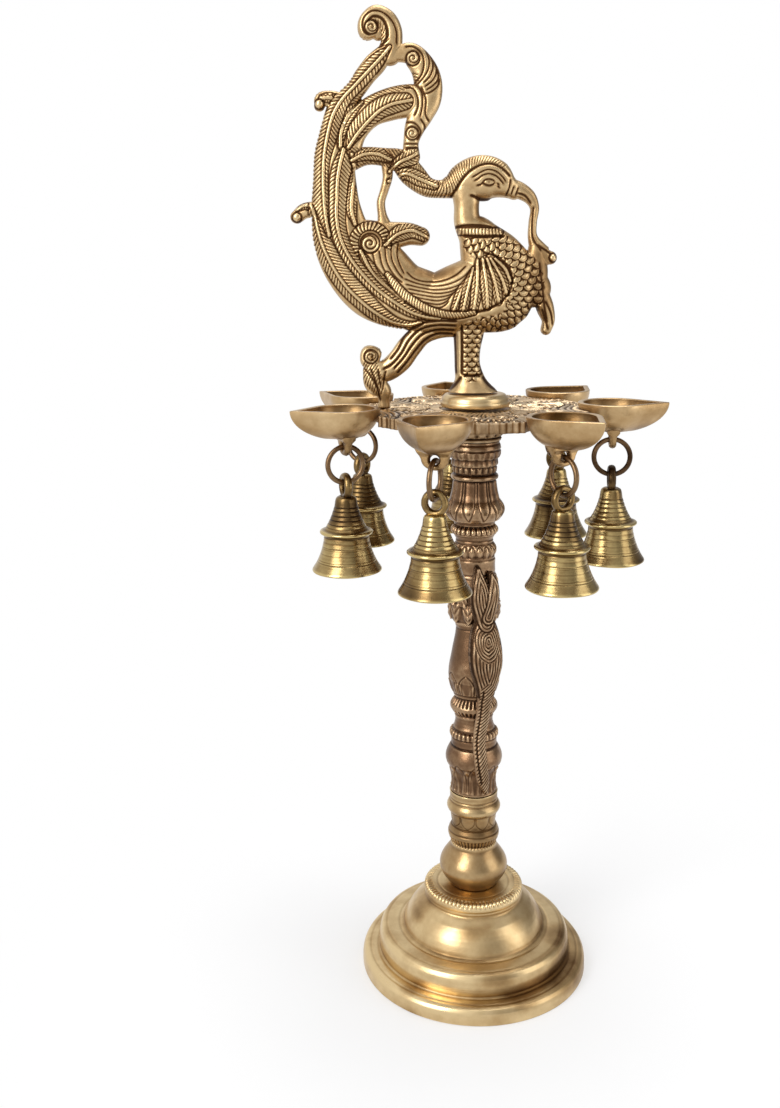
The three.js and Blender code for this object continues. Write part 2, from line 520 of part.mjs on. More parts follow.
// Rings: plain wire, each in the vertical plane through the lamp's axis
function wireRing(ringRadius, wireRadius, sides, segments) {
  return solid(new THREE.TorusGeometry(ringRadius, wireRadius, sides, segments));
}
function ring() {
  return wireRing(RING_RADIUS, WIRE_RADIUS, 4, 14).rotate([0, 90, 0])
    .translate([0, 0, RING_CENTRE_Z]);
}

// Bells: heights are measured down from the ring wire that carries the eye
const EYE_HOLE_RADIUS = 3;
const EYE_RADIUS = 5.4;
const EYE_THICKNESS = 2.8;
const EYE_CENTRE = WIRE_RADIUS + RUNNING - EYE_HOLE_RADIUS;
const CROWN = EYE_CENTRE - EYE_RADIUS + 1.4; // top of the bell's body
const STAPLE_WIRE = 0.55;
const STAPLE_RADIUS = 1.7;
const CROWN_INSIDE = CROWN - 3;
const CLAPPER_PIVOT = CROWN_INSIDE - 3.2;
// Outside and inside of the bell below its crown, in per cent of the mouth's radius and of
// the length
const bellOutside = [
  [19, 14], [42.5, 26.5], [69, 49.5], [76.5, 51], [76.5, 58], [70, 59.5], [81, 81],
  [100, 100],
];
const bellInside = [[92.5, 100], [72, 80], [32, 27.5]];
function bell() {
  const scaled = (points) => points.map(([r, z]) => [
    (r / 100) * BELL_MOUTH_RADIUS, (-z / 100) * BELL_LENGTH]);
  const outside = [[0, CROWN], ...scaled(bellOutside)];
  const inside = [...scaled(bellInside), [0, CROWN_INSIDE]];
  const body = turned([...outside, ...inside], 11);
  const shape = new THREE.Shape().absarc(0, EYE_CENTRE, EYE_RADIUS, 0, 2 * Math.PI, false);
  shape.holes.push(new THREE.Path().absarc(0, EYE_CENTRE, EYE_HOLE_RADIUS, 0, 2 * Math.PI, true));
  const eye = plate(shape, EYE_THICKNESS, 4).rotate([90, 0, 0]);
  return body.add(eye).add(staple()).translate([0, 0, BELL_PIVOT_Z]);
}
// Staple: a bent wire below the crown that the clapper's eye hangs on
function staple() {
  const [half, top] = [STAPLE_RADIUS, CROWN_INSIDE + 0.8];
  const bend = [0, 90, 180].map((a) => [
    -half * Math.cos(rad(a)), CLAPPER_PIVOT + half - half * Math.sin(rad(a))]);
  const path = [[-half, top], ...bend, [half, top]];
  const rings = path.map(([y, z], i) => {
    const [before, after] = [path[Math.max(0, i - 1)], path[Math.min(path.length - 1, i + 1)]];
    const along = new THREE.Vector3(0, after[0] - before[0], after[1] - before[1]).normalize();
    const side = new THREE.Vector3(1, 0, 0);
    const normal = new THREE.Vector3().crossVectors(along, side);
    return Array.from({ length: 4 }, (_, k) => new THREE.Vector3(0, y, z)
      .addScaledVector(side, STAPLE_WIRE * Math.cos(rad(90 * k)))
      .addScaledVector(normal, STAPLE_WIRE * Math.sin(rad(90 * k))));
  });
  return lofted(rings);
}

// Clappers: an eye on the staple, a rod and a ball
const CLAPPER_WIRE = 0.6;
const CLAPPER_EYE = 1.8;
const CLAPPER_BALL = 3.6;
const CLAPPER_BALL_Z = 1.45 * CLAPPER_BALL - BELL_LENGTH;
function clapper() {
  const eyeCentre = CLAPPER_PIVOT + STAPLE_WIRE + CLAPPER_WIRE + GAP - CLAPPER_EYE;
  const eye = wireRing(CLAPPER_EYE, CLAPPER_WIRE, 4, 6).rotate([90, 0, 0])
    .translate([0, 0, eyeCentre]);
  const stem = rod(0.9, CLAPPER_BALL_Z, eyeCentre - CLAPPER_EYE + 0.2, 4);
  const ball = solid(new THREE.SphereGeometry(CLAPPER_BALL, 6, 4).rotateX(Math.PI / 2)
    .translate(0, 0, CLAPPER_BALL_Z));
  return join([eye, stem, ball]).translate([0, 0, BELL_PIVOT_Z]);
}

const hangings = { cup: cup(), ring: ring(), bell: bell(), clapper: clapper() };
const finishes = { cup: polishedBrass, ring: bellBrass, bell: bellBrass, clapper: bellBrass };
cupAzimuths().forEach((azimuth, k) => {
  for (const [kind, body] of Object.entries(hangings)) {
    const placed = body.translate([0, -CUP_ORBIT, 0]).rotate([0, 0, azimuth]);
    addPiece(`${kind}_${k + 1}`, placed, finishes[kind]());
  }
});

export default lamp;
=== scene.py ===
"""Looks of a standing brass oil lamp: stepped foot, carved column, tray with spouted cups,
rings and bells, and a chased openwork peacock. Lengths are in millimetres until a mesh is
made, and the frame is the CAD model's own."""
import math
import bpy
import numpy as np
from mathutils import Matrix, Vector


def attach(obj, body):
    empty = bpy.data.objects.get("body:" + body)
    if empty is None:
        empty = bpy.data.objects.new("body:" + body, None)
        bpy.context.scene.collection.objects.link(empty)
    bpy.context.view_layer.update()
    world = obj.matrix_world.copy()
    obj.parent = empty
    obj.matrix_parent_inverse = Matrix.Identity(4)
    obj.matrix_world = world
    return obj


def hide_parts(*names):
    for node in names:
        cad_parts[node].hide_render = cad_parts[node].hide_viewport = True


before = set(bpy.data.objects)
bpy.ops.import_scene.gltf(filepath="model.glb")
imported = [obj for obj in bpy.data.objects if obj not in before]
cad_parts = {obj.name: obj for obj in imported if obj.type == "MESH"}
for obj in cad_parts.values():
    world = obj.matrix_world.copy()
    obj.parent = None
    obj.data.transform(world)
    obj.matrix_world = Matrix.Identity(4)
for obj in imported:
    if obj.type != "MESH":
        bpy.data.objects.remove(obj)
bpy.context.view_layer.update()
MM = 0.001

# Heights and radii, as in the part
FOOT_HEIGHT, FOOT_RADIUS = 40.5, 54.4
FOOT_SEAT_Z = 0.84 * FOOT_HEIGHT
COLUMN_RADIUS, STUD_RADIUS, STUD_BORE, STUD_END = 12, 4.6, 4.9, 22.4
LOWER_BOTTOM, LOWER_LENGTH = 40.8, 47.7
MIDDLE_BOTTOM, MIDDLE_LENGTH = 88.8, 84.15
UPPER_BOTTOM, UPPER_LENGTH = 173.25, 85.725
TRAY_BOTTOM, TRAY_TOP, TRAY_EDGE, TRAY_RADIUS = 259.275, 274.485, 5.07, 52.06
TRAY_FACE = TRAY_TOP - 0.8
STAND_Z, STAND_TOP, STAND_RADIUS = 274.785, 280.77, 15.8
CUP_COUNT, FIRST_CUP = 7, 83.5
CUP_RADIUS, CUP_ORBIT, TIP_RADIUS = 15.75, 62.3, 87.5
CUP_DEPTH, CUP_WALL, CUP_RIM_Z = 13.07, 1.6, 276.985
CUP_FLOOR_Z = CUP_RIM_Z - CUP_DEPTH
LUG_HOLE_Z, LUG_HOLE_RADIUS = 260.2, 1.95
RING_RADIUS, WIRE_RADIUS, RING_CENTRE_Z = 8.1, 1.15, 251.813
BELL_PIVOT_Z, BELL_LENGTH, BELL_MOUTH_RADIUS = 243.713, 40, 15.6


def new_object(name, data):
    made = bpy.data.objects.new(name, data)
    bpy.context.scene.collection.objects.link(made)
    return made


# Camera at the photograph's viewing angle: pixels of its frame, metres and degrees
PHOTO_HEIGHT, FOCAL_LENGTH, SHIFT_UP, SENSOR = 1108, 1163.68, -100, 36
CAMERA_PLACE, CAMERA_DOWN, CAMERA_ROLL = (-0.03901, -0.52827, 0.34275), 9.659, -0.525


def make_camera():
    data = bpy.data.cameras.new("camera")
    data.sensor_fit = "VERTICAL"
    data.sensor_height = SENSOR
    data.lens = SENSOR * FOCAL_LENGTH / PHOTO_HEIGHT
    data.shift_y = SHIFT_UP / PHOTO_HEIGHT
    data.clip_start = 0.01
    camera = new_object("camera", data)
    turn = (Matrix.Rotation(math.radians(90 - CAMERA_DOWN), 4, "X")
            @ Matrix.Rotation(math.radians(CAMERA_ROLL), 4, "Z"))
    camera.matrix_world = Matrix.Translation(CAMERA_PLACE) @ turn
    bpy.context.scene.camera = camera


make_camera()


class Nodes:
    """The node tree of a material or world. Each call returns the output that is used on."""

    def __init__(self, owner):
        owner.use_nodes = True
        self.tree = owner.node_tree

    def feed(self, node, inputs):
        """Set inputs, by name or number, to values or to the outputs of other nodes."""
        for key, value in inputs.items():
            if isinstance(value, bpy.types.NodeSocket):
                self.tree.links.new(value, node.inputs[key])
            else:
                node.inputs[key].default_value = value

    def add(self, kind, output, inputs, **settings):
        node = self.tree.nodes.new("ShaderNode" + kind)
        for key, value in settings.items():
            setattr(node, key, value)
        self.feed(node, inputs)
        return node.outputs[output]

    def maths(self, operation, *values, clamp=False):
        return self.add("Math", 0, dict(enumerate(values)), operation=operation, use_clamp=clamp)

    def noise(self, place, scale, detail, roughness):
        return self.add("TexNoise", "Fac", {
            "Vector": place, "Scale": scale, "Detail": detail, "Roughness": roughness})

    def stretched(self, place, scale):
        return self.add("Mapping", "Vector", {"Vector": place, "Scale": scale})

    def map_range(self, value, start, end, low=0.0, high=1.0, kind="LINEAR"):
        return self.add("MapRange", "Result", {
            "Value": value, "From Min": start, "From Max": end, "To Min": low, "To Max": high},
            interpolation_type=kind)

    def mixed(self, share, a, b):
        return self.add("Mix", "Result", {"Factor": share, "A": a, "B": b}, data_type="RGBA")


# Materials: cast metal whose recesses are darker than its rubbed high places
RUBBED, MIDWAY, HOLLOW = 0.18, 0.44, 0.8  # depths at which the three colours lie


def metal(name, high, middle, low, rough=(0.26, 0.5), grain=260, bump=0.12, turned=0.0,
          spots=0.0, patina_and_reflection_clouds=0.0):
    material = bpy.data.materials.new(name)
    nodes = Nodes(material)
    shader = material.node_tree.nodes["Principled BSDF"]
    shader.inputs["Metallic"].default_value = 1.0
    place = nodes.add("TexCoord", "Object", {})
    recess = nodes.add("Attribute", "Fac", {}, attribute_name="recess")
    blotch = nodes.noise(place, 34.0, 4.0, 0.6)
    fine = nodes.noise(place, float(grain), 5.0, 0.65)
    wear = nodes.maths("MULTIPLY_ADD", blotch, 0.55, -0.275)
    grit = nodes.maths("MULTIPLY_ADD", fine, 0.3, -0.15)
    depth = nodes.maths("ADD", nodes.maths("ADD", recess, wear), grit, clamp=True)
    if patina_and_reflection_clouds:  # broad soft dark clouds: patina, and on polished brass painted dark reflections
        cloud = nodes.noise(nodes.stretched(place, (1.0, 1.0, 2.4)), 21.0, 2.0, 0.45)
        cover = nodes.map_range(cloud, 0.5, 0.68, 0, patina_and_reflection_clouds, "SMOOTHSTEP")
        depth = nodes.maths("ADD", depth, cover, clamp=True)
    colour = nodes.add("ValToRGB", "Color", {"Fac": depth})
    stops = colour.node.color_ramp.elements
    stops[0].position, stops[0].color = RUBBED, (*high, 1)
    stops[1].position, stops[1].color = HOLLOW, (*low, 1)
    stops.new(MIDWAY).color = (*middle, 1)
    if spots:
        speck = nodes.noise(place, 120.0, 3.0, 0.7)
        colour = nodes.mixed(nodes.map_range(speck, 0.62, 0.74, 0, spots), colour, (*low, 1))
    height = fine
    if turned:  # fine marks left by the lathe
        lines = nodes.noise(nodes.stretched(place, (4.0, 4.0, 900.0)), 1.0, 3.0, 0.6)
        height = nodes.maths("ADD", height, nodes.maths("MULTIPLY", lines, turned))
    height = nodes.maths("ADD", height, nodes.maths("MULTIPLY", blotch, 2.2))
    nodes.feed(shader, {
        "Base Color": colour, "Roughness": nodes.map_range(depth, 0, 1, *rough),
        "Normal": nodes.add("Bump", "Normal", {
            "Height": height, "Strength": bump, "Distance": 0.0012})})
    return material


# The strong dark clouds of the polished brass are painted dark reflections, as on the foot's dome.
polished = metal("polished_brass", (0.70, 0.53, 0.29), (0.45, 0.30, 0.14), (0.13, 0.065, 0.02),
                 rough=(0.26, 0.46), grain=150, bump=0.08, turned=0.8, patina_and_reflection_clouds=0.42)
drum_brass = metal("drum_brass", (0.60, 0.45, 0.24), (0.35, 0.225, 0.105), (0.09, 0.045, 0.016),
                   rough=(0.22, 0.46), grain=170, bump=0.1, turned=0.5, patina_and_reflection_clouds=0.3)
smooth_brass = metal("smooth_brass", (0.68, 0.50, 0.28), (0.42, 0.27, 0.125), (0.12, 0.06, 0.018),
                     rough=(0.25, 0.48), grain=170, bump=0.14, spots=0.3, patina_and_reflection_clouds=0.3)
gold = metal("aged_gold", (0.68, 0.50, 0.27), (0.38, 0.235, 0.105), (0.07, 0.03, 0.011),
             rough=(0.28, 0.62), grain=320, bump=0.1)
leaf_brass = metal("leaf_brass", (0.66, 0.50, 0.32), (0.31, 0.20, 0.105), (0.04, 0.02, 0.01),
                   rough=(0.28, 0.6), grain=320, bump=0.1)
bronze = metal("dark_bronze", (0.46, 0.31, 0.18), (0.17, 0.095, 0.05), (0.028, 0.014, 0.008),
               rough=(0.2, 0.48), grain=280, bump=0.12, patina_and_reflection_clouds=0.15)
bird_bronze = metal("rubbed_bronze", (0.58, 0.42, 0.26), (0.26, 0.155, 0.085), (0.04, 0.02, 0.01),
                    rough=(0.28, 0.55), grain=300, bump=0.1)
bell_metal = metal("bell_brass", (0.54, 0.41, 0.18), (0.22, 0.14, 0.055), (0.035, 0.018, 0.009),
                   rough=(0.17, 0.42), grain=200, bump=0.1, turned=0.8, spots=0.7, patina_and_reflection_clouds=0.3)
wire_metal = metal("wire_brass", (0.40, 0.29, 0.16), (0.17, 0.10, 0.05), (0.035, 0.018, 0.009),
                   rough=(0.26, 0.5), grain=260, bump=0.16, spots=0.7, patina_and_reflection_clouds=0.25)
steel = metal("steel", (0.42, 0.41, 0.40), (0.30, 0.29, 0.28), (0.12, 0.11, 0.1),
              rough=(0.35, 0.6), grain=200, bump=0.1)


# Meshes
def make_piece(name, shape, material, body, nodes, crease=None):
    """An object of a shape's points (mm), four-cornered faces and recesses."""
    points, quads, recess = shape
    mesh = bpy.data.meshes.new(name)
    mesh.vertices.add(len(points))
    mesh.vertices.foreach_set("co", (np.asarray(points) * MM).astype(np.float32).ravel())
    quads = np.asarray(quads, np.int32).reshape(-1, 4)
    mesh.loops.add(quads.size)
    mesh.loops.foreach_set("vertex_index", quads.ravel())
    mesh.polygons.add(len(quads))
    mesh.polygons.foreach_set("loop_start", np.arange(0, quads.size, 4, dtype=np.int32))
    mesh.update(calc_edges=True)
    mesh.validate()
    mesh.polygons.foreach_set("use_smooth", np.ones(len(mesh.polygons), bool))
    if crease:
        mesh.set_sharp_from_angle(angle=math.radians(crease))
    marks = mesh.attributes.new("recess", "FLOAT", "POINT")
    marks.data.foreach_set("value", np.clip(recess, 0, 1).astype(np.float32))
    mesh.materials.append(material)
    piece = new_object(name, mesh)
    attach(piece, body)
    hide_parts(*nodes)


def joined(*shapes):
    """Several shapes as one."""
    points, quads, recess, count = [], [], [], 0
    for p, q, r in shapes:
        points.append(p)
        quads.append(q + count)
        recess.append(r)
        count += len(p)
    return np.concatenate(points), np.concatenate(quads), np.concatenate(recess)


def lifted(shape, height):
    return shape[0] + np.array([0, 0, height]), shape[1], shape[2]


def turned_about(points, degrees, shift=(0, 0, 0)):
    """Points turned about Z, from -Y towards +X, after a shift."""
    a = math.radians(degrees)
    x, y, z = (np.asarray(points) + np.array(shift)).T
    return np.stack([x * math.cos(a) - y * math.sin(a), x * math.sin(a) + y * math.cos(a), z], -1)


def outward(points, quads):
    """The faces turned so that they enclose a positive volume."""
    a, b, c, d = (points[quads[:, k]] for k in range(4))
    volume = np.einsum("ij,ij->", a, np.cross(b, c)) + np.einsum("ij,ij->", a, np.cross(c, d))
    return quads if volume > 0 else quads[:, ::-1]


def grid_faces(rows, columns, ring=False):
    """Faces between rows that close on themselves. With ring, the last row meets the first."""
    i, k = np.meshgrid(np.arange(rows if ring else rows - 1), np.arange(columns), indexing="ij")
    here, above, after = i * columns, (i + 1) % rows * columns, (k + 1) % columns
    return np.stack([here + k, here + after, above + after, above + k], -1).reshape(-1, 4)


def unit(values):
    return np.clip(values, 0, 1)


def hump(values, width):
    """1 where a value is 0, and almost 0 from twice the width on."""
    return np.exp(-(values / width) ** 2)


def window_fade(q, low, high, soft=0.6):
    """1 between low and high, fading to 0 outside."""
    return unit((q - low) / soft + 0.5) * unit((high - q) / soft + 0.5)


def blurred(values, reach, closed=False):
    """Box blur along both axes, twice; closed says that the second axis runs round."""
    out = values.astype(float)
    for _ in range(2):
        for axis, n in enumerate(reach):
            pad = [(0, 0), (0, 0)]
            pad[axis] = (n, n)
            wide = np.pad(out, pad, mode="wrap" if closed and axis == 1 else "edge")
            total = np.insert(np.cumsum(wide, axis=axis), 0, 0, axis=axis)
            size = total.shape[axis]
            high = np.take(total, np.arange(2 * n + 1, size), axis=axis)
            low = np.take(total, np.arange(0, size - 2 * n - 1), axis=axis)
            out = (high - low) / (2 * n + 1)
    return out


def mean_near(height, phi, n):
    """The mean height around each place of a grid, over the places where phi is inside."""
    solid = (phi > -0.2).astype(float)
    return blurred(height * solid, (n, n)) / np.maximum(blurred(solid, (n, n)), 0.05)


def way_along(points):
    """The distance along a path at each of its points."""
    return np.r_[0, np.cumsum(np.linalg.norm(np.diff(points, axis=0), axis=1))]


def scaled(points, radius, height, bottom=0):
    """An outline given in per cent of a radius and of a height."""
    return [(r / 100 * radius, bottom + z / 100 * height) for r, z in points]


def moulding(low, high, radius, bulge, steps=12):
    return [(radius + bulge * math.sin(math.pi * i / steps), low + (high - low) * i / steps)
            for i in range(steps + 1)]


def soft_profile(points, step):
    """A turned outline resampled evenly, its corners eased."""
    p = np.array(points, float)
    p = p[np.r_[True, np.linalg.norm(np.diff(p, axis=0), axis=1) > 1e-6]]
    s = way_along(p)
    t = np.linspace(0, s[-1], max(8, int(s[-1] / step)) + 1)
    q = np.stack([np.interp(t, s, p[:, 0]), np.interp(t, s, p[:, 1])], 1)
    q[1:-1] = 0.25 * q[:-2] + 0.5 * q[1:-1] + 0.25 * q[2:]
    return q


def curved(points, step=0.5):
    """A smooth path through the points; every column runs along smoothly."""
    p = np.array(points, float)
    t = np.r_[0, np.cumsum(np.linalg.norm(np.diff(p[:, :2], axis=0), axis=1) ** 0.5)]
    m = np.gradient(p, t, axis=0) if len(p) > 2 else np.repeat((p[1:] - p[:1]) / t[1], 2, 0)
    u = np.linspace(0, 1, 12, endpoint=False)[:, None]
    parts = []
    for i in range(len(p) - 1):
        h = t[i + 1] - t[i]
        parts.append((2 * u**3 - 3 * u**2 + 1) * p[i] + (u**3 - 2 * u**2 + u) * h * m[i]
                     + (3 * u**2 - 2 * u**3) * p[i + 1] + (u**3 - u**2) * h * m[i + 1])
    dense = np.vstack([*parts, p[-1:]])
    s = way_along(dense[:, :2])
    at = np.linspace(0, s[-1], max(2, int(round(s[-1] / step))) + 1)
    return np.stack([np.interp(at, s, dense[:, k]) for k in range(p.shape[1])], 1)


def revolved(profile, sides, relief=None, spread=1.2, strength=0.55, base=0.36):
    """A closed turned body. relief(angle, s, z) moves the skin outwards along its normal."""
    r, z = profile[:, 0], profile[:, 1]
    tangent = np.gradient(profile, axis=0)
    tangent /= np.maximum(np.linalg.norm(tangent, axis=1, keepdims=True), 1e-9)
    normal = np.stack([tangent[:, 1], -tangent[:, 0]], 1)
    s = way_along(profile)
    angle = np.linspace(0, 2 * np.pi, sides, endpoint=False)
    push = np.zeros((len(profile), sides))
    if relief is not None:
        push = push + relief(angle[None, :], s[:, None], z[:, None])
    push = push * unit(r / 0.6)[:, None]
    radius = np.maximum(r[:, None] + normal[:, :1] * push, 0)
    height = z[:, None] + normal[:, 1:] * push
    points = np.stack([radius * np.sin(angle), -radius * np.cos(angle), height], -1)
    step = np.median(np.linalg.norm(np.diff(profile, axis=0), axis=1))
    reach = (max(1, int(spread / max(step, 1e-3))),
             max(1, int(spread / (2 * np.pi * max(np.mean(r), 1) / sides))))
    hollow = ((blurred(radius, reach, True) - radius) * normal[:, :1]
              + (blurred(height, reach, True) - height) * normal[:, 1:])
    points = points.reshape(-1, 3)
    return points, outward(points, grid_faces(*radius.shape)), (base + strength * hollow).ravel()


class Stroke:
    """A drawn band: points are (a, b, half width, ...more columns) in a plane."""

    def __init__(self, points, step=0.5):
        self.path = curved(points, step)
        self.c, self.w = self.path[:, :2], self.path[:, 2]
        t = np.gradient(self.c, axis=0)
        self.t = t / np.maximum(np.linalg.norm(t, axis=1, keepdims=True), 1e-9)
        self.s = way_along(self.c)
        self.length = self.s[-1]

    def on(self, xs, ys, margin=1.5):
        """The window of the grid that the band covers, and there: distance along, signed
        distance across, distance from the spine, and half width."""
        lo = (self.c - self.w[:, None]).min(0) - margin
        hi = (self.c + self.w[:, None]).max(0) + margin
        i0, i1 = np.searchsorted(xs, (lo[0], hi[0]))
        j0, j1 = np.searchsorted(ys, (lo[1], hi[1]))
        window = (slice(max(i0, 0), max(i1, i0 + 1)), slice(max(j0, 0), max(j1, j0 + 1)))
        gx, gy = np.meshgrid(xs[window[0]], ys[window[1]], indexing="ij")
        p = np.stack([gx.ravel(), gy.ravel()], 1)
        near = np.empty(len(p), int)
        batch = 20000
        for start in range(0, len(p), batch):
            part = p[start:start + batch]
            d = (part[:, :1] - self.c[:, 0]) ** 2 + (part[:, 1:] - self.c[:, 1]) ** 2
            near[start:start + batch] = d.argmin(1)
        rel, t = p - self.c[near], self.t[near]
        forward = (rel * t).sum(1)
        across = rel[:, 1] * t[:, 0] - rel[:, 0] * t[:, 1]
        along = self.s[near] + forward
        over = (np.where(near == 0, np.maximum(-forward, 0), 0)
                + np.where(near == len(self.s) - 1, np.maximum(forward, 0), 0))
        half = np.interp(along, self.s, self.w)
        return window, [v.reshape(gx.shape) for v in (along, across, np.hypot(across, over), half)]

    def column(self, along, k):
        return np.interp(along, self.s, self.path[:, k])


CORNERS = ((0, 0), (1, 0), (1, 1), (0, 1))  # of a grid cell, in turn
BEYOND = ((1, 0), (2, 1), (1, 2), (0, 1))  # the cell across each side, in the padded grid
WALL_MARK = 0.42


def relief_plate(xs, ys, phi, front, back, recess, wall=0, upright=False):
    """A closed body over the grid where phi > 0, between the heights front and back. With
    wall > 0 its edge is an upright wall of that many rows, else both faces meet there. The
    grid lies in XY, or upright in XZ."""
    cell = xs[1] - xs[0]
    inside = phi > -0.5 * cell
    kept = inside[:-1, :-1] & inside[1:, :-1] & inside[:-1, 1:] & inside[1:, 1:]
    wide = np.pad(kept, 1)
    around = wide[:-1, :-1].astype(int) + wide[1:, :-1] + wide[:-1, 1:] + wide[1:, 1:]
    used, edge = around > 0, (around > 0) & (around < 4)
    slopes = np.gradient(phi, cell)
    steep = np.maximum(slopes[0]**2 + slopes[1]**2, 0.2)
    limit = 0.75 * cell
    a, b = (line + np.where(edge, np.clip(-phi * slope / steep, -limit, limit), 0)
            for line, slope in zip((xs[:, None], ys[None, :]), slopes))
    points, marks, count = [], [], 0

    def layer(mask, height, mark):
        """The numbers of new points at a height, wherever the mask is true."""
        nonlocal count
        ids = np.full(phi.shape, -1)
        ids[mask] = count + np.arange(mask.sum())
        count += mask.sum()
        points.append(np.stack([a[mask], b[mask], height[mask]], 1))
        marks.append(mark[mask])
        return ids

    if not wall:
        middle = (front + back) / 2
        front, back = np.where(edge, middle, front), np.where(edge, middle, back)
    rows = [layer(used, front, recess)]
    last = layer(used if wall else used & ~edge, back, recess)
    if not wall:
        last[edge] = rows[0][edge]
    for share in [k / wall for k in range(1, wall)]:
        rows.append(layer(edge, front * (1 - share) + back * share, 0 * phi + WALL_MARK))
    rows.append(last)
    i, j = np.nonzero(kept)
    quads = [np.stack([ids[i + u, j + v] for u, v in CORNERS], 1) for ids in (rows[0], last)]
    quads[1] = quads[1][:, ::-1]
    for side in range(4 if wall else 0):
        free = ~wide[i + BEYOND[side][0], j + BEYOND[side][1]]
        ends = [(i[free] + u, j[free] + v) for u, v in (CORNERS[(side + 1) % 4], CORNERS[side])]
        for top, low in zip(rows[:-1], rows[1:]):
            quads.append(np.stack([top[ends[0]], top[ends[1]], low[ends[1]], low[ends[0]]], 1))
    points, quads = np.concatenate(points), np.concatenate(quads)
    if upright:
        points = points[:, [0, 2, 1]]
    return points, outward(points, quads), np.concatenate(marks)


# Ornament of a turned body: functions of the angle and of q, per cent of the height
def cycle(angle, count, shift=0.0):
    """From -1 to 1 across each of so many repeats."""
    return np.mod(count * angle / (2 * np.pi) + shift, 1) * 2 - 1


def flutes(angle, q, low, high, count, depth, sharp=1.0):
    wave = np.abs(np.cos(count * angle / 2)) ** (4 * sharp)
    return -depth * window_fade(q, low, high, 1.2) * wave


def beads(angle, q, low, high, count, depth):
    u = cycle(angle, count)
    v = (q - (low + high) / 2) / ((high - low) / 2)
    ball = np.sqrt(np.maximum(1 - u**2 * 1.1 - v**2, 0))
    return window_fade(q, low, high, 0.5) * depth * (1.5 * ball - 0.7)


def leaves(angle, q, low, high, count, depth, shift=0.0, veins=5.0, up=True):
    """A row of overlapping pointed leaves with a midrib and side veins."""
    u = cycle(angle, count, shift)
    t = unit((q - low) / (high - low))
    t = t if up else 1 - t
    reach = np.sqrt(np.maximum(1 - t**1.6, 0))
    body = unit((reach - np.abs(u)) * 4)
    vein = np.cos(2 * np.pi * (veins * t + 1.5 * np.abs(u)))
    skin = depth * (0.5 * body * np.sqrt(np.maximum(1 - (u / np.maximum(reach, 0.05))**2, 0))
                    + 0.16 * body * vein + 0.3 * hump(u, 0.09) * body - 0.6 * (1 - body))
    return window_fade(q, low, high, 0.8) * (skin + 0.25 * depth * hump(reach - np.abs(u), 0.1))


def arches(angle, q, low, high, count, depth, width, shift=0.0, up=False, waist=0.9, inner=0.6):
    """Engraved arches: pointed at the bottom and open at the top, or the other way up."""
    u = np.abs(cycle(angle, count, shift))
    t = unit((q - low) / (high - low))
    t = 1 - t if up else t
    side = np.sin(np.pi / 2 * unit(1.7 * t)) ** 0.8
    line = hump(u - waist * side, width)
    second = hump(u - 0.6 * waist * side, 0.8 * width) * unit(4 * t - 0.6)
    return -depth * window_fade(q, low, high, 0.8) * unit(line + inner * second)


def rings(q, places, depth, width):
    return sum(-depth * hump(q - place, width) for place in places)


# Foot: its outline in per cent of the radius and of the height
FOOT_OUTSIDE = [(100, 0), (100, 9), (99.4, 13.5), (97.6, 17), (94, 18.5), (86.5, 19.4), (84.4, 20),
                (84.9, 24), (85.1, 32), (84.2, 40), (82.3, 44.5), (79, 46.6), (66, 47.6),
                (62.7, 48.6), (61.8, 53), (59.9, 59.5), (57.8, 65), (55.2, 70), (51.5, 75.5),
                (46, 81), (43.2, 83.5), (42.6, 85), (43.4, 87), (43.4, 88.5), (42.9, 89.3),
                (43.9, 90.5), (44, 96), (43.4, 98.6), (42, 100)]
FOOT_INSIDE = [(38, 84), (49, 67), (56, 40), (77, 36), (78, 15), (93.8, 9), (93.8, 0)]
NOTCH_COUNT, NOTCH_INSIDE, NOTCH_OUTSIDE = 72, 19.8, 24.4  # round the collar
STEP_GROOVES = ((50.6, 6), (46.9, 6), (42.6, 17.5), (36.2, 17.5))  # radius, and lies above
# Painted dark reflections and shadow lines on the foot: radius, reach and amount
REFLECTION_AND_SHADOW_STREAKS = ((28.5, 2.6, 0.34), (34.2, 1.2, 0.24), (43.5, 1.5, 0.26), (50.5, 1.6, 0.22))


def foot():
    outside, inside = (scaled(points, FOOT_RADIUS, FOOT_HEIGHT)
                       for points in (FOOT_OUTSIDE, FOOT_INSIDE))
    profile = soft_profile([*outside, (STUD_BORE, FOOT_HEIGHT), (STUD_BORE, FOOT_SEAT_Z),
                            *inside, outside[0]], 0.45)
    r = profile[:, :1]

    def relief(angle, s, z):
        top = (z > 0.955 * FOOT_HEIGHT) & (r > 18.6)
        jitter = 0.35 * np.sin(5 * angle) + 0.3 * np.sin(11 * angle + 1)
        cut = unit(np.cos(NOTCH_COUNT * angle + jitter) * 1.5 - 0.1)
        near = unit((r - NOTCH_INSIDE) / 0.5) * unit((NOTCH_OUTSIDE - r) / 0.6)
        notch = np.where(top, -0.6 * cut * near, 0)
        groove = -0.25 * hump(r - 17.4, 0.4) * (z > 0.99 * FOOT_HEIGHT)
        steps = sum(-0.22 * hump(r - at, 0.45) * (z > low) for at, low in STEP_GROOVES)
        dents = 0.05 * np.sin(3 * angle + 0.2 * s) + 0.035 * np.sin(7 * angle - 0.31 * s)
        return notch + groove + steps + dents * (s > 0)

    points, quads, recess = revolved(profile, 288, relief, spread=1.6, strength=0.5, base=0.28)
    # painted dark reflections and shadow lines, in brown streaks on the dome and the steps
    x, y, z = points.T
    away, turn = np.hypot(x, y), np.arctan2(x, -y)
    streak = unit(np.sin(2.6 * turn + 1.1 * np.sin(3 * turn + 0.5) + 0.28 * away))
    for at, reach, amount in REFLECTION_AND_SHADOW_STREAKS:
        recess += amount * (0.25 + 0.75 * streak) * hump(away - at, reach) * (z > 5)
    return points, quads, recess


make_piece("foot", foot(), polished, "lamp", ["base"], crease=60)


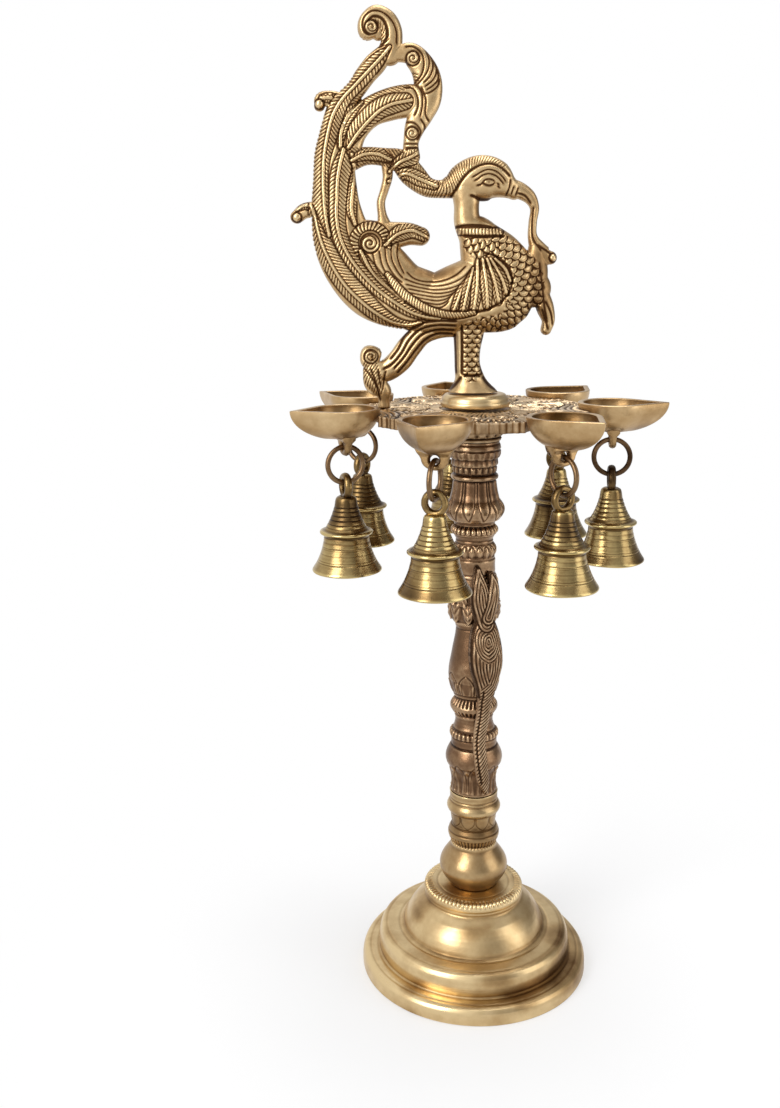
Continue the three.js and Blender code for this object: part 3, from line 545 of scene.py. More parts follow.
# Column segments. Outlines are per cent of the column's radius and of the segment's length.
LOWER = [*moulding(0, 39.5, 95, 41, 24), (92, 41), (93, 43.5), *moulding(46.5, 62.5, 92, 11.5, 12),
         (88.5, 64.5), (88.5, 66), (91, 72), (94.5, 76.5), *moulding(78, 88.5, 98, 9, 10),
         (95.5, 90.5), (95, 97), (97, 100)]
MIDDLE = [(93.5, 0), (90, 1.5), (87, 4), (88, 8), (93, 11), *moulding(13, 26.8, 96, 17, 14),
          (91, 27.6), (90, 30.5), (92, 32.6), (96.5, 33.3), (97.5, 34.8), (95, 36.2), (85, 37),
          (78, 39.5), (74, 42), (74.5, 44), (78.5, 45.8), *moulding(46.8, 54.6, 80, 14.5, 12),
          (76, 55.6), (79, 56.8), (88, 60), (95, 63), (99.5, 66), (101.5, 69), (100.5, 72.5),
          (97, 76), (91.5, 80), (85.5, 85), (79, 89.5), (75, 92.5), (72.5, 95.5), (74, 98),
          (76.5, 100)]
UPPER = [(84, 0), (92, 2.2), (97, 5), (97, 8.5), (94, 12), (91, 16), (91, 20.5), (87, 24),
         (82, 27.5), (80.5, 31.5), (82, 35.5), (79, 36.7), *moulding(37.2, 43.4, 78.5, 8.5, 10),
         (75.5, 44.2), (73, 45.5), (73.5, 46.8), *moulding(47.6, 54, 75.5, 13.5, 10), (80, 54.8),
         (84, 56), *moulding(57, 68.5, 96, 21, 14), (94, 70), (90, 72), (86.5, 75), (84, 78.3),
         *moulding(79, 82.2, 85.5, 6.5, 6), (84, 83), (86.5, 85.5), (90.5, 88), (88.5, 90.3),
         (96, 91.2), (100.5, 92.8), (101.5, 96), (99, 98), (95, 98.8), (95, 100)]


def segment(outline, bottom, length, ornament, stud=None):
    start = [(0, bottom)]
    if stud is not None:
        start = [(0, stud), (STUD_RADIUS, stud), (STUD_RADIUS, bottom)]
    skin = scaled(outline, COLUMN_RADIUS, length, bottom)
    profile = soft_profile([*start, *skin, (0, bottom + length)], 0.27)
    profile[:, 0] = np.maximum(profile[:, 0], 0)
    side = profile[:, :1] > 6.5

    def relief(angle, s, z):
        return ornament(angle, (z - bottom) / length * 100) * side

    return revolved(profile, 264, relief, spread=0.9, strength=0.85, base=0.4)


def lower_ornament(angle, q):
    dents = 0.06 * np.sin(4 * angle + q * 0.1)
    return (dents + flutes(angle, q, 44.5, 52.5, 44, 0.6)
            + arches(angle, q, 64.5, 77, 9, 0.34, 0.07, inner=0)
            + 0.3 * flutes(angle, q, 65, 76, 9, 0.8)
            + rings(q, (46.0, 57.5, 63.4, 77.6, 89.6, 92.5), 0.35, 0.7))


def middle_ornament(angle, q):
    dents = 0.06 * np.sin(3 * angle + q * 0.11)
    return (dents + leaves(angle, q, 1.2, 16.5, 9, 0.55, veins=0.6)
            + arches(angle, q, 2, 18.5, 9, 0.35, 0.09, shift=0.5, up=True)
            + flutes(angle, q, 33.2, 36.8, 30, 0.6)
            + rings(q, (27.6, 32.4, 37.4, 46.0, 56.2, 58.6), 0.4, 0.45)
            + flutes(angle, q, 46.2, 49.2, 32, 0.65) + flutes(angle, q, 52.4, 55.6, 32, 0.65)
            + arches(angle, q, 59.5, 71.5, 8, 0.5, 0.08, up=True)
            + 0.5 * leaves(angle, q, 59.5, 66.5, 8, 0.8, shift=0.5, veins=0.8)
            + rings(q, (96.8,), 0.3, 0.6))


def upper_ornament(angle, q):
    return (leaves(angle, q, 0.5, 11.5, 10, 1.0, veins=3, up=False)
            + leaves(angle, q, 10.5, 26, 10, 1.0, shift=0.5, veins=3.5)
            + rings(q, (27.6, 35.8, 44.6), 0.4, 0.5)
            + arches(angle, q, 37, 44, 17, 0.6, 0.16, up=True)
            + beads(angle, q, 49.6, 54.4, 26, 0.7)
            + rings(q, (46.2, 48.6, 55.4), 0.35, 0.4)
            + arches(angle, q, 57.5, 79, 11, 0.55, 0.085, waist=0.78, inner=0)
            + 0.25 * flutes(angle, q, 60, 78.4, 11, 0.8)
            + rings(q, (56.4, 78.8, 82.6, 86.4, 95.4), 0.55, 0.45)
            + flutes(angle, q, 83.2, 86.2, 20, 0.8, sharp=0.8)
            + 0.45 * flutes(angle, q, 87.2, 94.8, 15, 0.8, sharp=1.2))


make_piece("column_foot_ball",
           segment(LOWER, LOWER_BOTTOM, LOWER_LENGTH, lower_ornament, STUD_END),
           drum_brass, "lamp", ["column_lower"])
make_piece("column_vase", segment(MIDDLE, MIDDLE_BOTTOM, MIDDLE_LENGTH, middle_ornament),
           bronze, "lamp", ["column_middle"])
make_piece("column_capital", segment(UPPER, UPPER_BOTTOM, UPPER_LENGTH, upper_ornament),
           bronze, "lamp", ["column_upper"])

for name in ("base_nut", "base_washer"):
    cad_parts[name].data.materials.clear()
    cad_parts[name].data.materials.append(steel)


class Relief:
    """A casting drawn as bands on a plane, and the ornament chased on it: heights and marks."""
    CROWN, FILL = 2.4, 0.46  # roundness of a band's section

    def __init__(self, low, high, cell, strokes, level=0.4):
        """strokes are lists of (a, b, half width, half depth[, middle]) points."""
        self.xs = np.arange(low[0], high[0] + cell, cell)
        self.ys = np.arange(low[1], high[1] + cell, cell)
        shape = (len(self.xs), len(self.ys))
        self.phi = np.full(shape, -9.0)
        self.height, self.middle, weight, self.mark, self.ornament = np.zeros((5, *shape))
        self.level = level
        for points in strokes:
            stroke = Stroke(points)
            window, (along, _, away, half) = stroke.on(self.xs, self.ys)
            v = unit(away / np.maximum(half, 1e-6))
            tall = stroke.column(along, 3) * (1 - v**self.CROWN) ** self.FILL
            inside = half - away
            self.phi[window] = np.maximum(self.phi[window], inside)
            self.height[window] = np.maximum(self.height[window], tall)
            if stroke.path.shape[1] > 4:
                share = np.exp(np.clip(inside, -3, 6))
                self.middle[window] += share * stroke.column(along, 4)
                weight[window] += share
        self.middle /= np.maximum(weight, 1e-9)

    def band(self, points, step=0.5):
        stroke = Stroke(points, step)
        return stroke, *stroke.on(self.xs, self.ys)

    def put(self, window, amount, dark, share, rim=0.0):
        """Blend in a height and its dark: a share of 1 replaces what is there. The rim is
        engraved round it."""
        self.ornament[window] = self.ornament[window] * (1 - share) + amount * share - rim
        self.mark[window] = np.maximum(self.mark[window] * (1 - share) + dark * share, rim)

    def groove(self, points, width=0.42, depth=0.55, dark=0.52):
        stroke, window, (along, _, away, _) = self.band([(*p[:2], width * 3) for p in points])
        taper = np.clip(np.minimum(along, stroke.length - along) / 1.2 + 0.3, 0.2, 1)
        line = taper * hump(away, width)
        self.ornament[window] -= depth * line
        self.mark[window] = np.maximum(self.mark[window], dark * line)

    def feather(self, points, pitch=1.7, slant=0.9, lift=0.3, depth=0.36, rachis=0.42, tooth=0):
        """Points are (a, b, half width on the left of the way along[, on the right])."""
        stroke, window, (along, across, away, _) = self.band(
            [(*p[:2], max(p[2:]), p[2], p[-1]) for p in points])
        half = np.where(across > 0, stroke.column(along, 3), stroke.column(along, 4))
        v = away / np.maximum(half, 1e-6)
        share = unit((half - away) / 0.35)
        barb = np.cos(2 * np.pi * (along - slant * np.abs(across)) / pitch)
        quill = hump(np.abs(across) - 0.25, rachis)
        line = hump(np.abs(across) - rachis - 0.5, 0.28)
        plain = (1 - quill) * unit(v * 4) * unit((half - 0.5) / 0.8)
        dome = lift * np.sqrt(np.maximum(1 - v**2, 0))
        cut = unit(-barb) ** 1.2
        if tooth:
            self.phi[window] -= tooth * cut * (unit(1 - np.abs(self.phi[window]) / 2.5) * share)
        border = hump(half - away + 0.1, 0.3) * (away < half + 1) * (self.phi[window] > 1)
        self.put(window, dome - 1.5 * depth * cut * plain + 0.4 * quill - 0.4 * line,
                 0.5 * cut * plain + 0.3 * line, share, 0.5 * border)

    def rope(self, points, pitch=1.5, height=0.55, slant=0.8):
        _, window, (along, across, away, half) = self.band(points)
        v = unit(away / np.maximum(half, 1e-6))
        gap = unit(np.cos(2 * np.pi * (along + slant * across) / pitch))
        self.put(window, height * np.sqrt(1 - v**2) - 0.5 * gap * (1 - v**4), 0.5 * gap,
                 unit((half - away) / 0.3), 0.6 * hump(half - away + 0.15, 0.3))

    def scales(self, points, size=2.3, height=0.5):
        """Rows of round scales that overlap along the way."""
        _, window, (along, across, away, half) = self.band(points)
        row = np.floor(along / size)

        def disc(r):
            u = np.mod(across / (2 * size) + 0.5 * np.mod(r, 2), 1) - 0.5
            return np.hypot(2 * size * u, along - r * size) / size

        near, under = disc(row), disc(row + 1)
        edge = hump(near - 1, 0.14)
        arc = hump(np.where(near < 1, near, under) - 0.62, 0.1)
        amount = (np.where(near < 1, 0.5 + 0.45 * near, -0.1 + 0.3 * (1 - under))
                  - 1.5 * edge - 0.4 * arc)
        # Engraved edges and arcs are dark, and just outside each scale's edge is a painted shadow
        # on the scale below.
        dark = unit(edge + 0.45 * arc + 0.25 * hump(near - 1.2, 0.15))
        self.put(window, height * amount, 0.55 * dark, unit((half - away) / 0.6))

    def about(self, centre, reach):
        """The window of the grid about a centre, and there the distance and direction."""
        i, j = ((line > c - reach) & (line < c + reach)
                for line, c in zip((self.xs, self.ys), centre))
        gx, gy = np.meshgrid(self.xs[i] - centre[0], self.ys[j] - centre[1], indexing="ij")
        return np.ix_(i, j), np.hypot(gx, gy), np.arctan2(gy, gx)

    def eye(self, centre, radius, turns=1.5, height=0.9):
        """A ball, or with turns a spiral, in an engraved ring."""
        window, d, angle = self.about(centre, radius + 1.5)
        amount, dark = height * np.sqrt(np.maximum(1 - (d / radius) ** 2, 0)), 0 * d
        if turns:
            wave = np.cos(2 * np.pi * (d / (radius / (turns + 0.6)) - angle / (2 * np.pi)))
            amount = 0.35 * height * wave * unit(d / 0.8) + 0.4 * amount
            dark = 0.6 * unit(-wave) * unit(d / 0.8)
        rim = 0.6 * hump(d - radius - 0.1, 0.35)
        self.put(window, amount, dark, unit((radius - d) / 0.35), rim)

    def sunrays(self, centre, inner, outer, count, depth=0.45, start=0, end=360):
        window, d, angle = self.about(centre, outer + 1)
        angle = np.mod(np.degrees(angle) - start, 360)
        span = unit((end - start - angle) / 4)
        share = unit((d - inner) / 0.3) * unit((outer - d) / 0.3) * span
        ray = np.cos(np.radians(angle) * count + 0.9 * (d - inner))
        rim = 0.5 * sum(hump(d - r, 0.28) for r in (inner, outer)) * span
        self.ornament[window] = (self.ornament[window] * (1 - share)
                                 + (0.25 + depth * ray) * share - rim)
        self.mark[window] = np.maximum(self.mark[window] * (1 - share),
                                       0.55 * unit(-ray) * share + rim)

    def hatch(self, points, pitch=1.6, slant=0.7, depth=0.36):
        """Cross strokes over a whole band, left to right."""
        _, window, (along, across, away, half) = self.band(points)
        cut = unit(np.cos(2 * np.pi * (along + slant * across) / pitch))
        self.put(window, -1.4 * depth * cut, 0.5 * cut, unit((half - away) / 0.5))

    def darken_patch(self, centre, reach, amount):
        """A zone painted darker, most at its centre."""
        d = np.hypot((self.xs[:, None] - centre[0]) / reach[0],
                     (self.ys[None, :] - centre[1]) / reach[1])
        self.mark += amount * unit(1.25 - d)

    def surfaces(self, edge_fade=1.1, both=True, spread=1.3):
        fade = unit(self.phi / edge_fade)
        shape = self.height + self.ornament * fade
        mean = mean_near(self.ornament, self.phi, max(1, int(spread / (self.xs[1] - self.xs[0]))))
        front = self.middle + np.maximum(shape, 0.05)
        back = self.middle - np.maximum(shape if both else self.height, 0.05)
        return front, back, self.level + 0.8 * (mean - self.ornament) * fade + self.mark


# Peacock: bands of the casting, [x, height above the disc, half width, half depth]
PEACOCK = {
    'tail': [(-61.5, 126, 4, 3.2), (-62.5, 118.5, 5.5, 3.6), (-62.5, 108, 8.5, 4),
        (-62.5, 95, 9.6, 4.2), (-62, 83, 11, 4.6), (-59.5, 70.5, 13.2, 5), (-53.5, 59, 15, 6),
        (-43.5, 47.5, 15, 7), (-32, 40.5, 11.5, 8), (-20.5, 39.5, 9, 8.5)],
    'tailStem': [(-39, 150, 3.5, 3.4), (-43.5, 145, 4.8, 3.4), (-48, 140, 4.6, 3.2),
        (-52.5, 134, 4.4, 3.2), (-57, 129, 4.8, 3.2), (-59.5, 124, 5.4, 3.4)],
    'topScroll': [(-37.5, 148.5, 5, 3.6), (-37, 152.5, 5, 3.8), (-36.8, 158.5, 4.6, 4),
        (-39.2, 163, 4.4, 4), (-43.6, 165, 4, 4), (-47.5, 161.5, 3.7, 4), (-47.3, 157.5, 3.4, 3.8),
        (-44.5, 157, 2.2, 3.4)],
    'scrollWeb': [(-44, 162.5, 4, 2.6), (-42.5, 156.5, 2.5, 2.6)],
    'leftCurl': [(-58, 125, 4, 3.2), (-61, 129.5, 3.4, 3.2), (-64.5, 130, 3.5, 3.2),
        (-67.5, 129.5, 3.3, 3), (-68.5, 127, 2.4, 2.8)],
    'leftKnob': [(-64.5, 81, 4.5, 3.4), (-71, 82.5, 3.6, 3.4), (-76, 82, 3.4, 3.2),
        (-79.4, 79.5, 3, 3)],
    'lobe': [(-40, 147, 3, 3.4), (-34, 148.5, 3.5, 3.4), (-28.5, 148.5, 4.8, 3.6),
        (-23.2, 143, 5.6, 3.8), (-21, 136.5, 6.2, 3.8), (-21.6, 129.5, 6.4, 3.8),
        (-24, 123.5, 5.6, 3.8), (-27, 117, 4.4, 3.6), (-28.5, 111, 3.4, 3.4),
        (-28.5, 105, 4, 3.4)],
    'feather': [(-57, 107, 6, 3.6), (-53.5, 116.5, 6, 3.6), (-46.5, 124, 6.4, 3.6),
        (-37.5, 127.5, 7, 3.6), (-29.5, 129, 7, 3.6), (-24.5, 130, 6, 3.4)],
    'branch': [(-56.5, 103.5, 5.2, 3.6), (-48.5, 105.5, 4, 3.6), (-40.5, 105, 4, 3.6),
        (-33, 103, 5.2, 3.8), (-28, 97.5, 5.6, 4), (-21.5, 92, 4.4, 4.4), (-15, 91, 4, 5),
        (-10.5, 92, 5.4, 5.6)],
    'strut': [(-39, 101, 2.6, 2.8), (-39, 96, 2.2, 2.6), (-40.5, 90.5, 1.9, 2.5),
        (-42, 85.5, 1.9, 2.5), (-41.5, 80, 2.1, 2.6), (-40.5, 75, 3.4, 3)],
    'backCurl': [(-55, 62, 7, 5), (-51.5, 70, 7.4, 5), (-44, 70.5, 7, 5), (-36.5, 71, 6, 4.6),
        (-29.5, 71.5, 5, 4.2), (-24.5, 70.5, 4.2, 4)],
    'rump': [(-46, 66, 9, 6), (-39.5, 57.5, 10, 6.5), (-32, 48.5, 11, 7.5), (-23, 44, 11.5, 8.5)],
    'body': [(-35.5, 42, 11.5, 8), (-21.5, 40, 13, 9.5), (-6, 43, 16, 11), (8.5, 46, 18.6, 11),
        (17.5, 47, 17, 10), (23, 47, 13, 8.5), (25.5, 47, 8.6, 6.5)],
    'neck': [(-4, 90.5, 7, 6.5), (-4, 83.5, 5.6, 6), (-3.5, 77, 6.2, 6.4), (0.5, 71, 9, 7.5),
        (5.5, 63, 13.5, 9), (11, 54, 16, 10)],
    'head': [(-12, 91, 4, 5), (-6, 94, 8, 6.5), (2, 95.5, 10, 7.5), (9, 94.5, 9, 7),
        (14.5, 91.5, 5.2, 5.5), (17, 90, 4, 4.5)],
    'beak': [(13.5, 91.5, 4.6, 5), (19.5, 90, 3.8, 3.8), (24, 87, 3, 3.2), (26.2, 82.5, 2.1, 2.8),
        (25.5, 76, 1.9, 2.6), (25.5, 70, 2.2, 2.8), (28, 64.5, 3.8, 3.4), (31, 61, 4.4, 3.8),
        (33.5, 60.5, 3, 3.4)],
    'breastKnot': [(27, 64.5, 3.5, 4), (27, 56.5, 5.4, 5.5), (29, 46, 4, 5.5), (31.6, 38, 4, 5),
        (33, 32.5, 3, 4.2), (32, 28.5, 2.5, 3.6)],
    'leg': [(-2.5, 36.5, 8, 8), (-3, 27.5, 7, 7), (-3.5, 20.5, 6, 6.2), (-3.5, 13, 5.8, 6.2),
        (-2.5, 6.5, 7, 7), (-2, 1.5, 10.5, 9), (-1.6, -1.5, 12.4, 10.5)],
    'rearStrut': [(-6, 30, 4.5, 5), (-16, 29.5, 4.5, 4.8), (-24, 27, 5, 4.6), (-30, 21, 5.5, 4.4),
        (-34.5, 15, 5.5, 4.2), (-40.5, 10.5, 5, 4), (-46, 10, 4.5, 4)],
    'rearScroll': [(-41.5, 12.5, 3, 3.4), (-45.5, 13, 3, 3.6), (-49, 15, 3, 3.6),
        (-48.5, 19, 3, 3.4), (-45, 18.5, 2.6, 3.2), (-45, 16, 2, 3)],
    'rearBud': [(-46, 10.5, 5, 4), (-45.5, 5, 5, 4.2), (-42, 1, 4, 3.8), (-41.5, -3, 2.6, 3.2),
        (-41.5, -5.9, 2.8, 3.2)],
}
# Its chased ornament lies in the same plane. Feathers are [x, height(, width left and right)].
SMALL_FEATHERS = [
    [(-54.5, 106, 1), (-53.3, 98, 1.8), (-54.4, 90, 2), (-55, 82, 2.2), (-53.5, 76, 1)],
    [(-59.5, 109, 1), (-59, 116, 2.4), (-55.5, 123, 2.6), (-50.5, 128, 1.4)],
    [(-54.5, 103.5, 1.2), (-49, 106, 2.6), (-43, 106, 3), (-38.5, 104, 1.8)],
    [(-38, 98.5, 0.8), (-33.5, 102.5, 2.6), (-28, 105, 3.6), (-25.5, 106.5, 2.4)],
    [(-38, 94.5, 1.2), (-31, 97.5, 2.6), (-24.5, 95, 3), (-18.5, 92.4, 2)],
    [(-40, 67, 1.2), (-34.5, 71.5, 3.4), (-28, 73, 3.4), (-22.5, 70.5, 2.6)],
    [(-51, 64, 1.2), (-47.5, 57, 2.6), (-42.5, 51, 2.6), (-37, 46, 2), (-32.5, 42.5, 1)],
    [(-71.5, 83.5, 2), (-75.5, 84.5, 2), (-79, 82.8, 1.2)],
    [(-60.5, 127.5, 1.6), (-63.5, 130, 2.2), (-67, 130, 1.6)],
]
LARGE_FEATHERS = [  # with the depth of the teeth that they cut into the outline
    (0, [(-56, 109, 1.2, 1), (-52, 114.5, 4.8, 1.8), (-47, 120, 5.2, 2.6), (-42, 124.5, 5, 3.4),
        (-37, 127, 4.6, 4), (-31, 128.2, 3.6, 3.4)]),
    (0.5, [(-73, 85, 1, 1), (-71.3, 79, 3, 3), (-70, 73, 4, 4.4), (-68.2, 67, 4.6, 4.4),
        (-64, 58, 5.6, 4), (-58, 49, 6, 3.8), (-51, 42, 5.6, 3.6), (-44, 36.5, 4.2, 3.4),
        (-37, 32.5, 3, 3), (-30.5, 31.3, 1.8, 2.4), (-25, 32.4, 1, 1.2)]),
    (0.5, [(-37.5, 151, 0.8, 0.8), (-42, 146, 2.6, 3.4), (-48, 140, 3.4, 4), (-53, 135, 3.4, 4),
        (-58, 130, 3.6, 3.4), (-62.5, 123, 4.6, 3.6), (-65.2, 114, 4.4, 4.8), (-66.8, 105, 3, 5),
        (-67.3, 96, 2.2, 5.2), (-67.2, 88, 2, 5.6), (-66.5, 79, 1.5, 3), (-65, 71, 0.8, 1)]),
    (0, [(-58.3, 107.5, 1.6, 1.6), (-60, 101, 5.4, 3), (-61, 95, 4.8, 3.4), (-61.4, 88, 4.4, 3.4),
        (-61.7, 80, 4, 3.2), (-60.7, 72, 3.6, 3.2), (-57.5, 64, 3.2, 3.2), (-52, 56, 3, 3),
        (-44.5, 48, 2.6, 2.8), (-36, 41.5, 2.4, 2.6), (-29, 37.2, 2.2, 2.2), (-22.5, 35, 1.6, 1.3),
        (-16.5, 34.2, 0.8, 0.6)]),
]
PLUMES = [  # of the wing's fan
    [(8, 60.5, 0.6), (12.3, 56, 1.8), (14.6, 51, 1.2)],
    [(-3.5, 53, 0.6), (-7, 46, 2), (-10, 38.6, 1.6)],
    [(6, 60.5, 0.6), (10.8, 52, 2.2), (13, 45.5, 1.4)],
    [(-1.5, 56.5, 0.6), (-4, 47.5, 2.3), (-6, 38.4, 1.8)],
    [(4.5, 60.5, 0.6), (7.8, 50.5, 2.4), (9.6, 41.6, 1.6)],
    [(0.3, 60, 0.6), (0, 48.5, 2.4), (-1.4, 38.2, 1.8)],
    [(2.5, 60.5, 0.6), (4, 50, 2.5), (4.6, 39.6, 1.8)],
]
COVERTS = [  # fine lines of the wing's root
    [(-48.5, 61), (-45.5, 55), (-40.5, 49), (-35.5, 44.8)],
    [(-46, 63.5), (-44, 56), (-39, 49.5), (-34.5, 46)],
    [(-43, 64.5), (-41.5, 57.5), (-37.5, 51), (-33, 47.5)],
    [(-40.5, 66), (-39.5, 59), (-36, 53), (-32.5, 50)],
    [(-37.5, 68), (-37.5, 61), (-34.8, 55), (-32.3, 52)],
    [(-34.5, 68), (-35, 62), (-33.2, 56.5), (-31.8, 54)],
    [(-31, 55), (-27.5, 52), (-22, 50.5), (-15, 51), (-9, 53.5), (-4.5, 57.5)],
    [(-32, 52), (-26, 49.8), (-19, 48.7), (-12, 49.6), (-6, 52.5), (-2, 56.5)],
    [(-31.5, 49.6), (-25, 48), (-18, 47), (-11, 47.9), (-5.5, 50.5), (-2.5, 53.5)],
    [(-30.5, 47.6), (-24, 46.3), (-17.5, 45.4), (-11.5, 46.2), (-7, 48.6)],
    [(-29.5, 45.8), (-23.5, 44.6), (-17, 43.8), (-12, 44.8), (-8.5, 47)],
    [(-28, 44), (-22.5, 42.9), (-16.8, 42.2), (-12.8, 43.4), (-10, 45.6)],
    [(-26.3, 42.4), (-21.5, 41.2), (-16.6, 40.6), (-13.5, 41.9), (-11.3, 44)],
    [(-24, 40.8), (-20.5, 39.7), (-16.3, 39.1), (-13.8, 40.4), (-12, 42.4)],
]
ROPES = [  # round the wing and the neck: pitch, height, slant, band
    (1.35, 0.5, 0.5, [(-39.5, 54, 1), (-37, 50.5, 1.7), (-33, 46, 1.9), (-28, 42, 1.9),
        (-22, 38.5, 1.9), (-15, 36.3, 1.7), (-8, 35.8, 1.5), (-1, 36.8, 1)]),
    (1.5, 0.4, 0, [(-8, 72.4, 1.5), (0, 72.2, 1.7), (10.5, 72.2, 1.6)]),
]
HATCHES = [  # arm, branch, crescent, crest and bud: pitch, slant, band
    (1.7, 1.1, [(-53, 127.5, 2.4), (-45, 131.5, 3.2), (-34, 135.5, 3.6), (-27.5, 138, 3)]),
    (1.6, 1.0, [(-56.5, 103.5, 5.8), (-40.5, 105, 4.6), (-33, 103, 5.8), (-28, 97.5, 6),
        (-21.5, 92, 4.8)]),
    (1.6, 1.0, [(-41.5, 150, 2), (-39.5, 154, 2), (-40.5, 159, 1.6), (-43, 162, 1)]),
    (1.25, -0.55, [(-19, 91, 4.6), (-14, 91.5, 5), (-10, 95.5, 4), (-6, 99.8, 2.6),
        (0, 102.8, 1.8), (7, 103, 1.6), (12, 100.5, 1.2)]),
    (1.6, 1.0, [(-47.5, 12, 4), (-46.5, 7, 4.4), (-44, 2.5, 3)]),
]
SCALES = [  # underside, breast, nape and leg: size, band
    (2.2, [(16.5, 34.5, 4), (9, 31, 5), (1.5, 30, 5), (-6, 30, 2.2)]),
    (2.3, [(9.5, 68, 4.6), (16.5, 58.5, 9), (20.5, 48.5, 10.2), (20, 39, 8.4), (15, 32, 5.4)]),
    (2.2, [(-2.5, 66.5, 3.6), (1.5, 64.5, 4.6), (6, 63.5, 4.6)]),
    (2.1, [(-1.7, 29, 4.8), (-1.8, 20, 4.2), (-1.8, 9.4, 4.2)]),
]
LINES = [  # scroll, lobe, brows, eye, beak, strand, bud and laps
    [(-34.6, 152), (-34.8, 158), (-37.2, 162.6), (-41, 165.4), (-45, 165.8), (-48.2, 163.6),
        (-49.2, 160), (-48, 157), (-45.6, 156)],
    [(-31, 151), (-27, 150.8), (-23.6, 148), (-22.8, 143.5), (-24, 139), (-27, 136)],
    [(-22, 150), (-20.6, 146), (-20.8, 142), (-23, 138), (-26, 135.2)],
    [(-20, 148), (-18.8, 143.5), (-20, 139), (-23, 135.8)],
    [(-18.3, 145.5), (-17.3, 141), (-19, 137), (-22.5, 134.2)],
    [(-17, 142), (-16.5, 138), (-18.8, 134.8), (-22, 132.8)],
    [(-15.8, 138), (-17, 134.5), (-20, 132), (-22.5, 131.3)],
    [(-31.5, 134.2), (-27.5, 133.6), (-25.8, 130.5), (-25.4, 126), (-27, 122)],
    [(-27, 136), (-24, 132.5), (-23.4, 127.5), (-24.5, 121.5)],
    [(-24, 134.5), (-22, 129), (-22.2, 122.5), (-20.5, 119.5)],
    [(-31, 119.5), (-27, 119), (-24.3, 115.5), (-26, 111.6)],
    [(-24.5, 121), (-22.5, 117.5), (-23.4, 114)],
    [(-31.5, 110.3), (-25.2, 110.3)],
    [(-31.5, 108.6), (-25, 108.6)],
    [(-2, 95.5), (0, 96.6), (3, 98.3), (5.5, 98.8), (8.5, 98), (11, 96), (13, 93.4)],
    [(-1.2, 94), (0.5, 94.8), (2.5, 96.3), (5.5, 97), (8.5, 96), (11, 93.6), (12, 92.4)],
    [(2.4, 93.2), (3.6, 94.3), (5.4, 94.7), (7.2, 94.2), (8, 93.4)],
    [(-0.2, 92), (1.6, 92.3), (2.6, 93), (4, 92.3), (5.8, 92), (7.4, 92.6), (8, 93.4)],
    [(5, 93.5), (5.8, 93.5)],
    [(8.6, 93.2), (10.2, 92)],
    [(8.8, 92), (10.4, 90.8)],
    [(15, 95), (14.4, 91), (13, 87.6)],
    [(18.6, 91.4), (17.2, 87.4)],
    [(16.6, 92), (15.4, 88)],
    [(18, 88.8), (21.5, 87.7), (24.5, 84)],
    [(25.5, 83), (25, 76), (25.5, 69), (29, 63.5)],
    [(27, 66.5), (31.5, 63.5), (35, 61)],
    [(-50.5, 12), (-47, 8), (-44.5, 3), (-43, -3)],
    [(-47.5, 12), (-45.5, 7), (-43.8, 2)],
    [(-44, 11.5), (-43.5, 7), (-42.8, 3)],
    [(-40.5, 11), (-41.5, 6.5), (-42, 2)],
    [(28, 58.5), (29, 50.5), (30.2, 41.5), (32, 31.5)],
    [(31, 41.5), (33.5, 36), (34.5, 30.5)],
    [(29.5, 38), (31.2, 33), (32.6, 28.5)],
]
BOLD_LINES = [  # crescent, crest, jaw, collar, end of the wing, strut, leg and toes
    [(-41.6, 151), (-38.7, 155), (-38.9, 159.5), (-41, 162.8), (-44.5, 163.6), (-47, 161.6)],
    [(-11.5, 86.8), (-9.3, 90), (-6.2, 94.8), (-2.5, 98.6), (2, 100.8), (6.5, 101.2), (11, 99.4),
        (15, 95.8)],
    [(-3, 88), (-0.5, 87.2), (1.5, 86.2), (4, 86), (9, 86.6)],
    [(-9.5, 74.3), (-3, 74.9), (3, 74.7), (7, 74)],
    [(-6, 70.2), (1, 69.9), (12.5, 70)],
    [(-1, 36.8), (5, 38.4), (11, 41.8), (14.6, 46.5), (15.6, 51.5), (13.4, 57), (8, 61.6),
        (3, 63)],
    [(-8.5, 33), (-18, 33.2), (-26, 31.5), (-31.5, 27), (-35, 20.5), (-38.5, 16)],
    [(-9, 31), (-18, 31.2), (-25, 29.3), (-30, 24.5), (-33.5, 18.5), (-38, 13.5), (-42, 11.5)],
    [(-9.5, 29), (-17.5, 29.2), (-24, 27), (-28.5, 22.3), (-32.5, 16.5), (-37, 11.5)],
    [(-10, 27.2), (-17, 27.3), (-22.5, 24.8), (-27, 20), (-31.5, 14), (-35.5, 9.5)],
    [(-9.4, 27.5), (-9, 18), (-8.8, 9)],
    [(-6.4, 31), (-6.2, 21), (-6.3, 9)],
    [(3.3, 27), (2.6, 18), (2.9, 9)],
    [(-6.3, 9), (-1.8, 8.6), (2.9, 9)],
    [(-6.5, 8), (-9.5, 4), (-13, 1)],
    [(3, 8), (6, 4), (10.5, 1)],
]
EYES = [  # x, height, radius, turns of its spiral
    (-45.3, 159.4, 2.8, 1.3), (-27.5, 146.2, 2.9, 1.3), (-28, 114.8, 2.7, 1.3),
        (-47, 67.5, 4.2, 1.6), (-47.2, 17.3, 3, 1.5), (-79.3, 79.2, 2, 0), (-68.5, 127.5, 2, 0),
        (34.5, 60.5, 1.8, 0),
]
# Zones painted darker: centre, reach and amount. The one at the right side of the neck, at (2,
# 82), is painted shade.
DARK_PATCHES = [((28, 50), (7, 20), 0.3), ((-18, 54), (10, 3), 0.22), ((2, 82), (2.6, 6), 0.3),
          ((-38, 104), (8, 4), 0.15)]
REAR_FOOT_X, SEAT_GAP = -30, 0.3  # what lies to the left of this x stands on the tray


